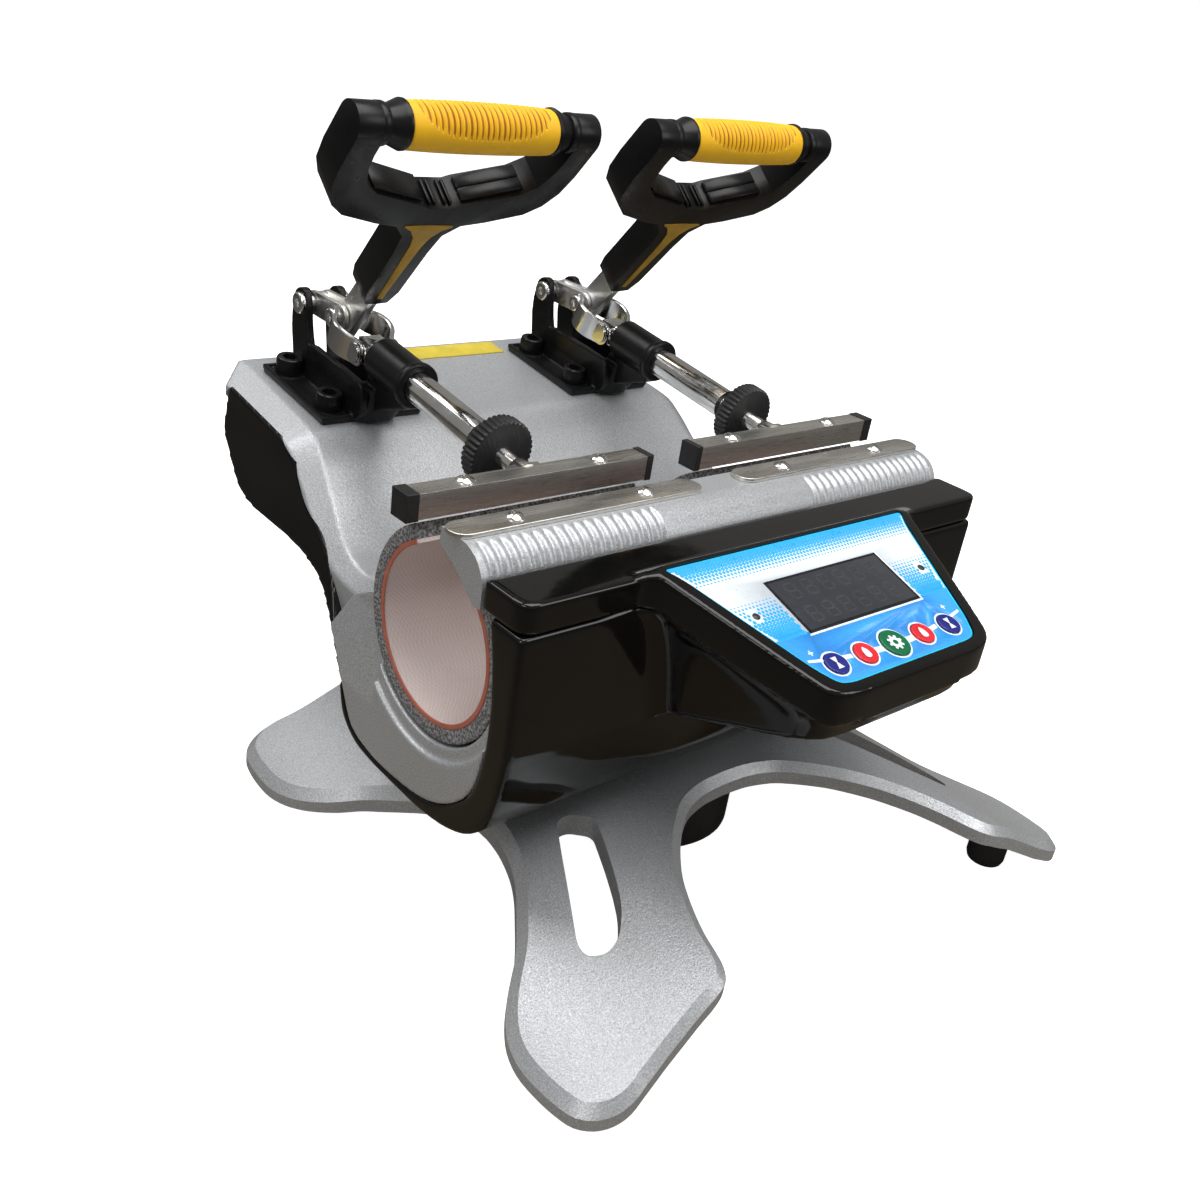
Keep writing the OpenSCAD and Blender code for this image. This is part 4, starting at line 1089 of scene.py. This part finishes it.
def clamp_casting(name, s):
    """Plate with a raised rim, bolt seats, a channel with a round nose, two ears and the guide tube."""
    parts = [prism(rounded(rect(-33.7, -9, 33.7, 66), 2.5, 4), -39.7, -37.0, "xy")]
    for q in ((-33.7, -9, 33.7, -6.6), (-33.7, 63.6, 33.7, 66), (-33.7, -9, -31.3, 66), (31.3, -9, 33.7, 66)):
        parts.append(prism(rect(*q), -38, -35.2, "xy"))
    parts += [prism(disc(x, y, 9.6, 40), -38, -36.5, "xy") for x, y in BOLTS]
    ear = spline([(49, -38), (49, -18.5), (52, -11), (54.6, -3), (56, 4), (58.5, 10)], 4)
    crown = (math.radians(110 - 12 * i) for i in range(8))
    ear += [(BASE_PIN[0] + 9.2 * math.cos(a), BASE_PIN[1] + 9.2 * math.sin(a)) for a in crown]
    ear += [(72.6, -4), (71.5, -14), (68, -26), (65, -38)]
    rail = [(-10, -38), (49, -38), (54, -30), (52, -17.6), (44, -15.9), (17, -14.9), (-10, -14.6)]
    bow = (math.pi * i / 10 for i in range(1, 10))
    rail += [(-10 - 6 * math.sin(a), -26 + 11.4 * math.cos(a)) for a in bow]
    for k in (-1, 1):
        parts.append(prism(ear, *sorted((k * 9.0, k * 14.0))))
        parts.append(prism(rail, *sorted((k * 9.2, k * 13.8))))
        gusset = [(9.5 * k, -38), (15.5 * k, -38), (13.6 * k, -27), (9.5 * k, -26)]
        parts.append(prism(gusset, -6, 60, "xz"))
    front = (math.pi * (i / 16 - 0.5) for i in range(17))
    nose = [(13.8 * math.sin(a), -9 - 7.5 * math.cos(a)) for a in front] + [(13.8, -4), (-13.8, -4)]
    parts.append(prism(nose, -38, -16.5, "xy"))
    web = [(-5, -38), (-5, -12), (-46, -12), (-44, -16), (-16, -30), (-12, -38)]
    parts.append(prism(web, -5.5, 5.5))
    turn = Matrix.Rotation(math.pi / 2, 4, "X")
    tube = [(0.01, 10.6), (12.2, 10.6), (12.7, 11.2), (12.7, 44), (13.7, 44.8), (13.7, 48.2),
            (13.0, 49), (0.01, 49)]
    parts.append(moved(lathe(tube, 64, False), turn))
    o = temp(parts[0])
    for part in parts[1:]:
        boolean(o, part, "UNION")
    skin(o, 0.62, 3, 0.6)
    bore = [(0.01, -20), (9.3, -20), (9.3, 70), (0.01, 70)]
    boolean(o, moved(lathe(bore, 64, False), turn))
    mark_smooth(o.data, 45)
    place(o, clamp_m(s))
    dress(o, "clamp_casting_" + name, "black_paint", "machine", ("clamp_base_" + name,))

for build in (base, housing, end_frames, shell, cover, ridge, overlay, display, buttons, wraps):
    build()
for name, s in SIDES:
    for build in (handle, ring, knob, lever, bolts, clamp_casting):
        build(name, s)

# CAD nodes that stay: welded, with softened edges
for o in NODES.values():
    if not o.hide_render:
        mod(o, "WELD", merge_threshold=1e-5)
        edge_mod(o, 0.35, 2, 40)

# ------------------------------------------------------------------ camera, light, floor
def camera():
    """Solved from the photo: place in mm, focal length in pixels of its width of 1200."""
    cam = bpy.data.cameras.new("camera")
    cam.sensor_width = 36
    cam.sensor_fit = "HORIZONTAL"
    cam.lens = 1238.284 / 1200 * 36
    cam.clip_start, cam.clip_end = 0.01, 100
    yaw, pitch, roll = (math.radians(a) for a in (44.03857, -26.415917, 8.918189))
    fwd = Vector((math.sin(yaw) * math.cos(pitch), math.cos(yaw) * math.cos(pitch), math.sin(pitch)))
    right = Vector((math.cos(yaw), -math.sin(yaw), 0))
    up = right.cross(fwd)
    a = right * math.cos(roll) + up * math.sin(roll)
    b = -right * math.sin(roll) + up * math.cos(roll)
    m = Matrix((a, b, -fwd)).transposed().to_4x4()
    m.translation = Vector((-467.742, -468.556, 446.647)) * 0.001
    o = bpy.data.objects.new("camera", cam)
    coll.objects.link(o)
    o.matrix_world = m
    scene.camera = o

def area(name, loc, target, size, power):
    l = bpy.data.lights.new(name, "AREA")
    l.shape = "RECTANGLE"
    l.size, l.size_y = size
    l.energy = power
    o = bpy.data.objects.new(name, l)
    coll.objects.link(o)
    o.location = loc
    o.rotation_mode = "QUATERNION"
    o.rotation_quaternion = (Vector(target) - Vector(loc)).to_track_quat("-Z", "Y")
    return o

def world():
    """White to the camera, dimmer to the object so that its blacks stay black."""
    w = bpy.data.worlds.new("studio")
    scene.world = w
    w.use_nodes = True
    nt = w.node_tree
    seen = nt.nodes["Background"]
    light = nt.nodes.new("ShaderNodeLightPath")
    dim = nt.nodes.new("ShaderNodeBackground")
    glossy = nt.nodes.new("ShaderNodeBackground")
    for node, color, strength in ((seen, (1, 1, 1, 1), 1.0), (dim, (0.95, 0.97, 1.0, 1), 0.26),
                                  (glossy, (1.0, 0.97, 0.92, 1), 0.24)):
        node.inputs["Color"].default_value = color
        node.inputs["Strength"].default_value = strength
    last = dim
    for ray, other in (("Is Glossy Ray", glossy), ("Is Camera Ray", seen)):
        mix = nt.nodes.new("ShaderNodeMixShader")
        for i, out in enumerate((light.outputs[ray], last.outputs[0], other.outputs[0])):
            nt.links.new(out, mix.inputs[i])
        last = mix
    nt.links.new(last.outputs[0], nt.nodes["World Output"].inputs["Surface"])

def floor():
    m = Mat("floor", (0.80, 0.80, 0.80), 0.8)
    m.bump(m.noise(200, 2), 0.02)
    light = m.n("ShaderNodeLightPath")
    camera_ray = light.outputs["Is Camera Ray"]
    seen = m.ramp(m.noise(6, 3), [(0.3, (0.79, 0.79, 0.79)), (0.7, (0.81, 0.81, 0.81))])
    square = [m.math("MULTIPLY", m.n_xyz(i), m.n_xyz(i)) for i in (0, 1)]
    away = m.math("SQRT", m.math("ADD", *square))
    bounce = m.ramp(away, [(0.25, (0.15, 0.115, 0.07)), (0.75, (0.065, 0.061, 0.054))])
    bounce = m.mix(light.outputs["Is Glossy Ray"], (0.34, 0.32, 0.30), bounce)
    m.color(m.mix(camera_ray, bounce, seen))
    glow = m.n("ShaderNodeEmission", {"Color": (1, 1, 1, 1)})
    m.link(m.math("MULTIPLY", camera_ray, 0.95), glow.inputs["Strength"])
    add = m.n("ShaderNodeAddShader")
    m.link(m.b.outputs[0], add.inputs[0])
    m.link(glow.outputs[0], add.inputs[1])
    m.link(add.outputs[0], m.nt.nodes["Material Output"].inputs["Surface"])
    M["floor"] = m.m
    o = new_obj("floor", lathe([(0.001, 0), (600, 0), (4000, 0), (30000, 0)], 96, False), "floor")
    o.location.z = -0.0002

camera()
world()
area("top", (0.1, -0.35, 1.7), (0, 0, 0.1), (1.3, 1.3), 24)
area("front_left", (-1.6, -0.5, 1.2), (0, 0, 0.15), (0.8, 0.8), 7)
area("front_right", (1.0, -1.5, 1.1), (0, 0, 0.15), (0.6, 0.9), 6)
area("back", (0.6, 1.6, 1.1), (0, 0, 0.2), (1.4, 0.6), 6).visible_glossy = False
area("tip", (-0.55, 0.8, 1.5), (-0.1, -0.1, 0.05), (0.8, 0.8), 7)
floor()
scene.view_settings.view_transform = "Standard"
scene.view_settings.look = "None"
bpy.context.view_layer.update()
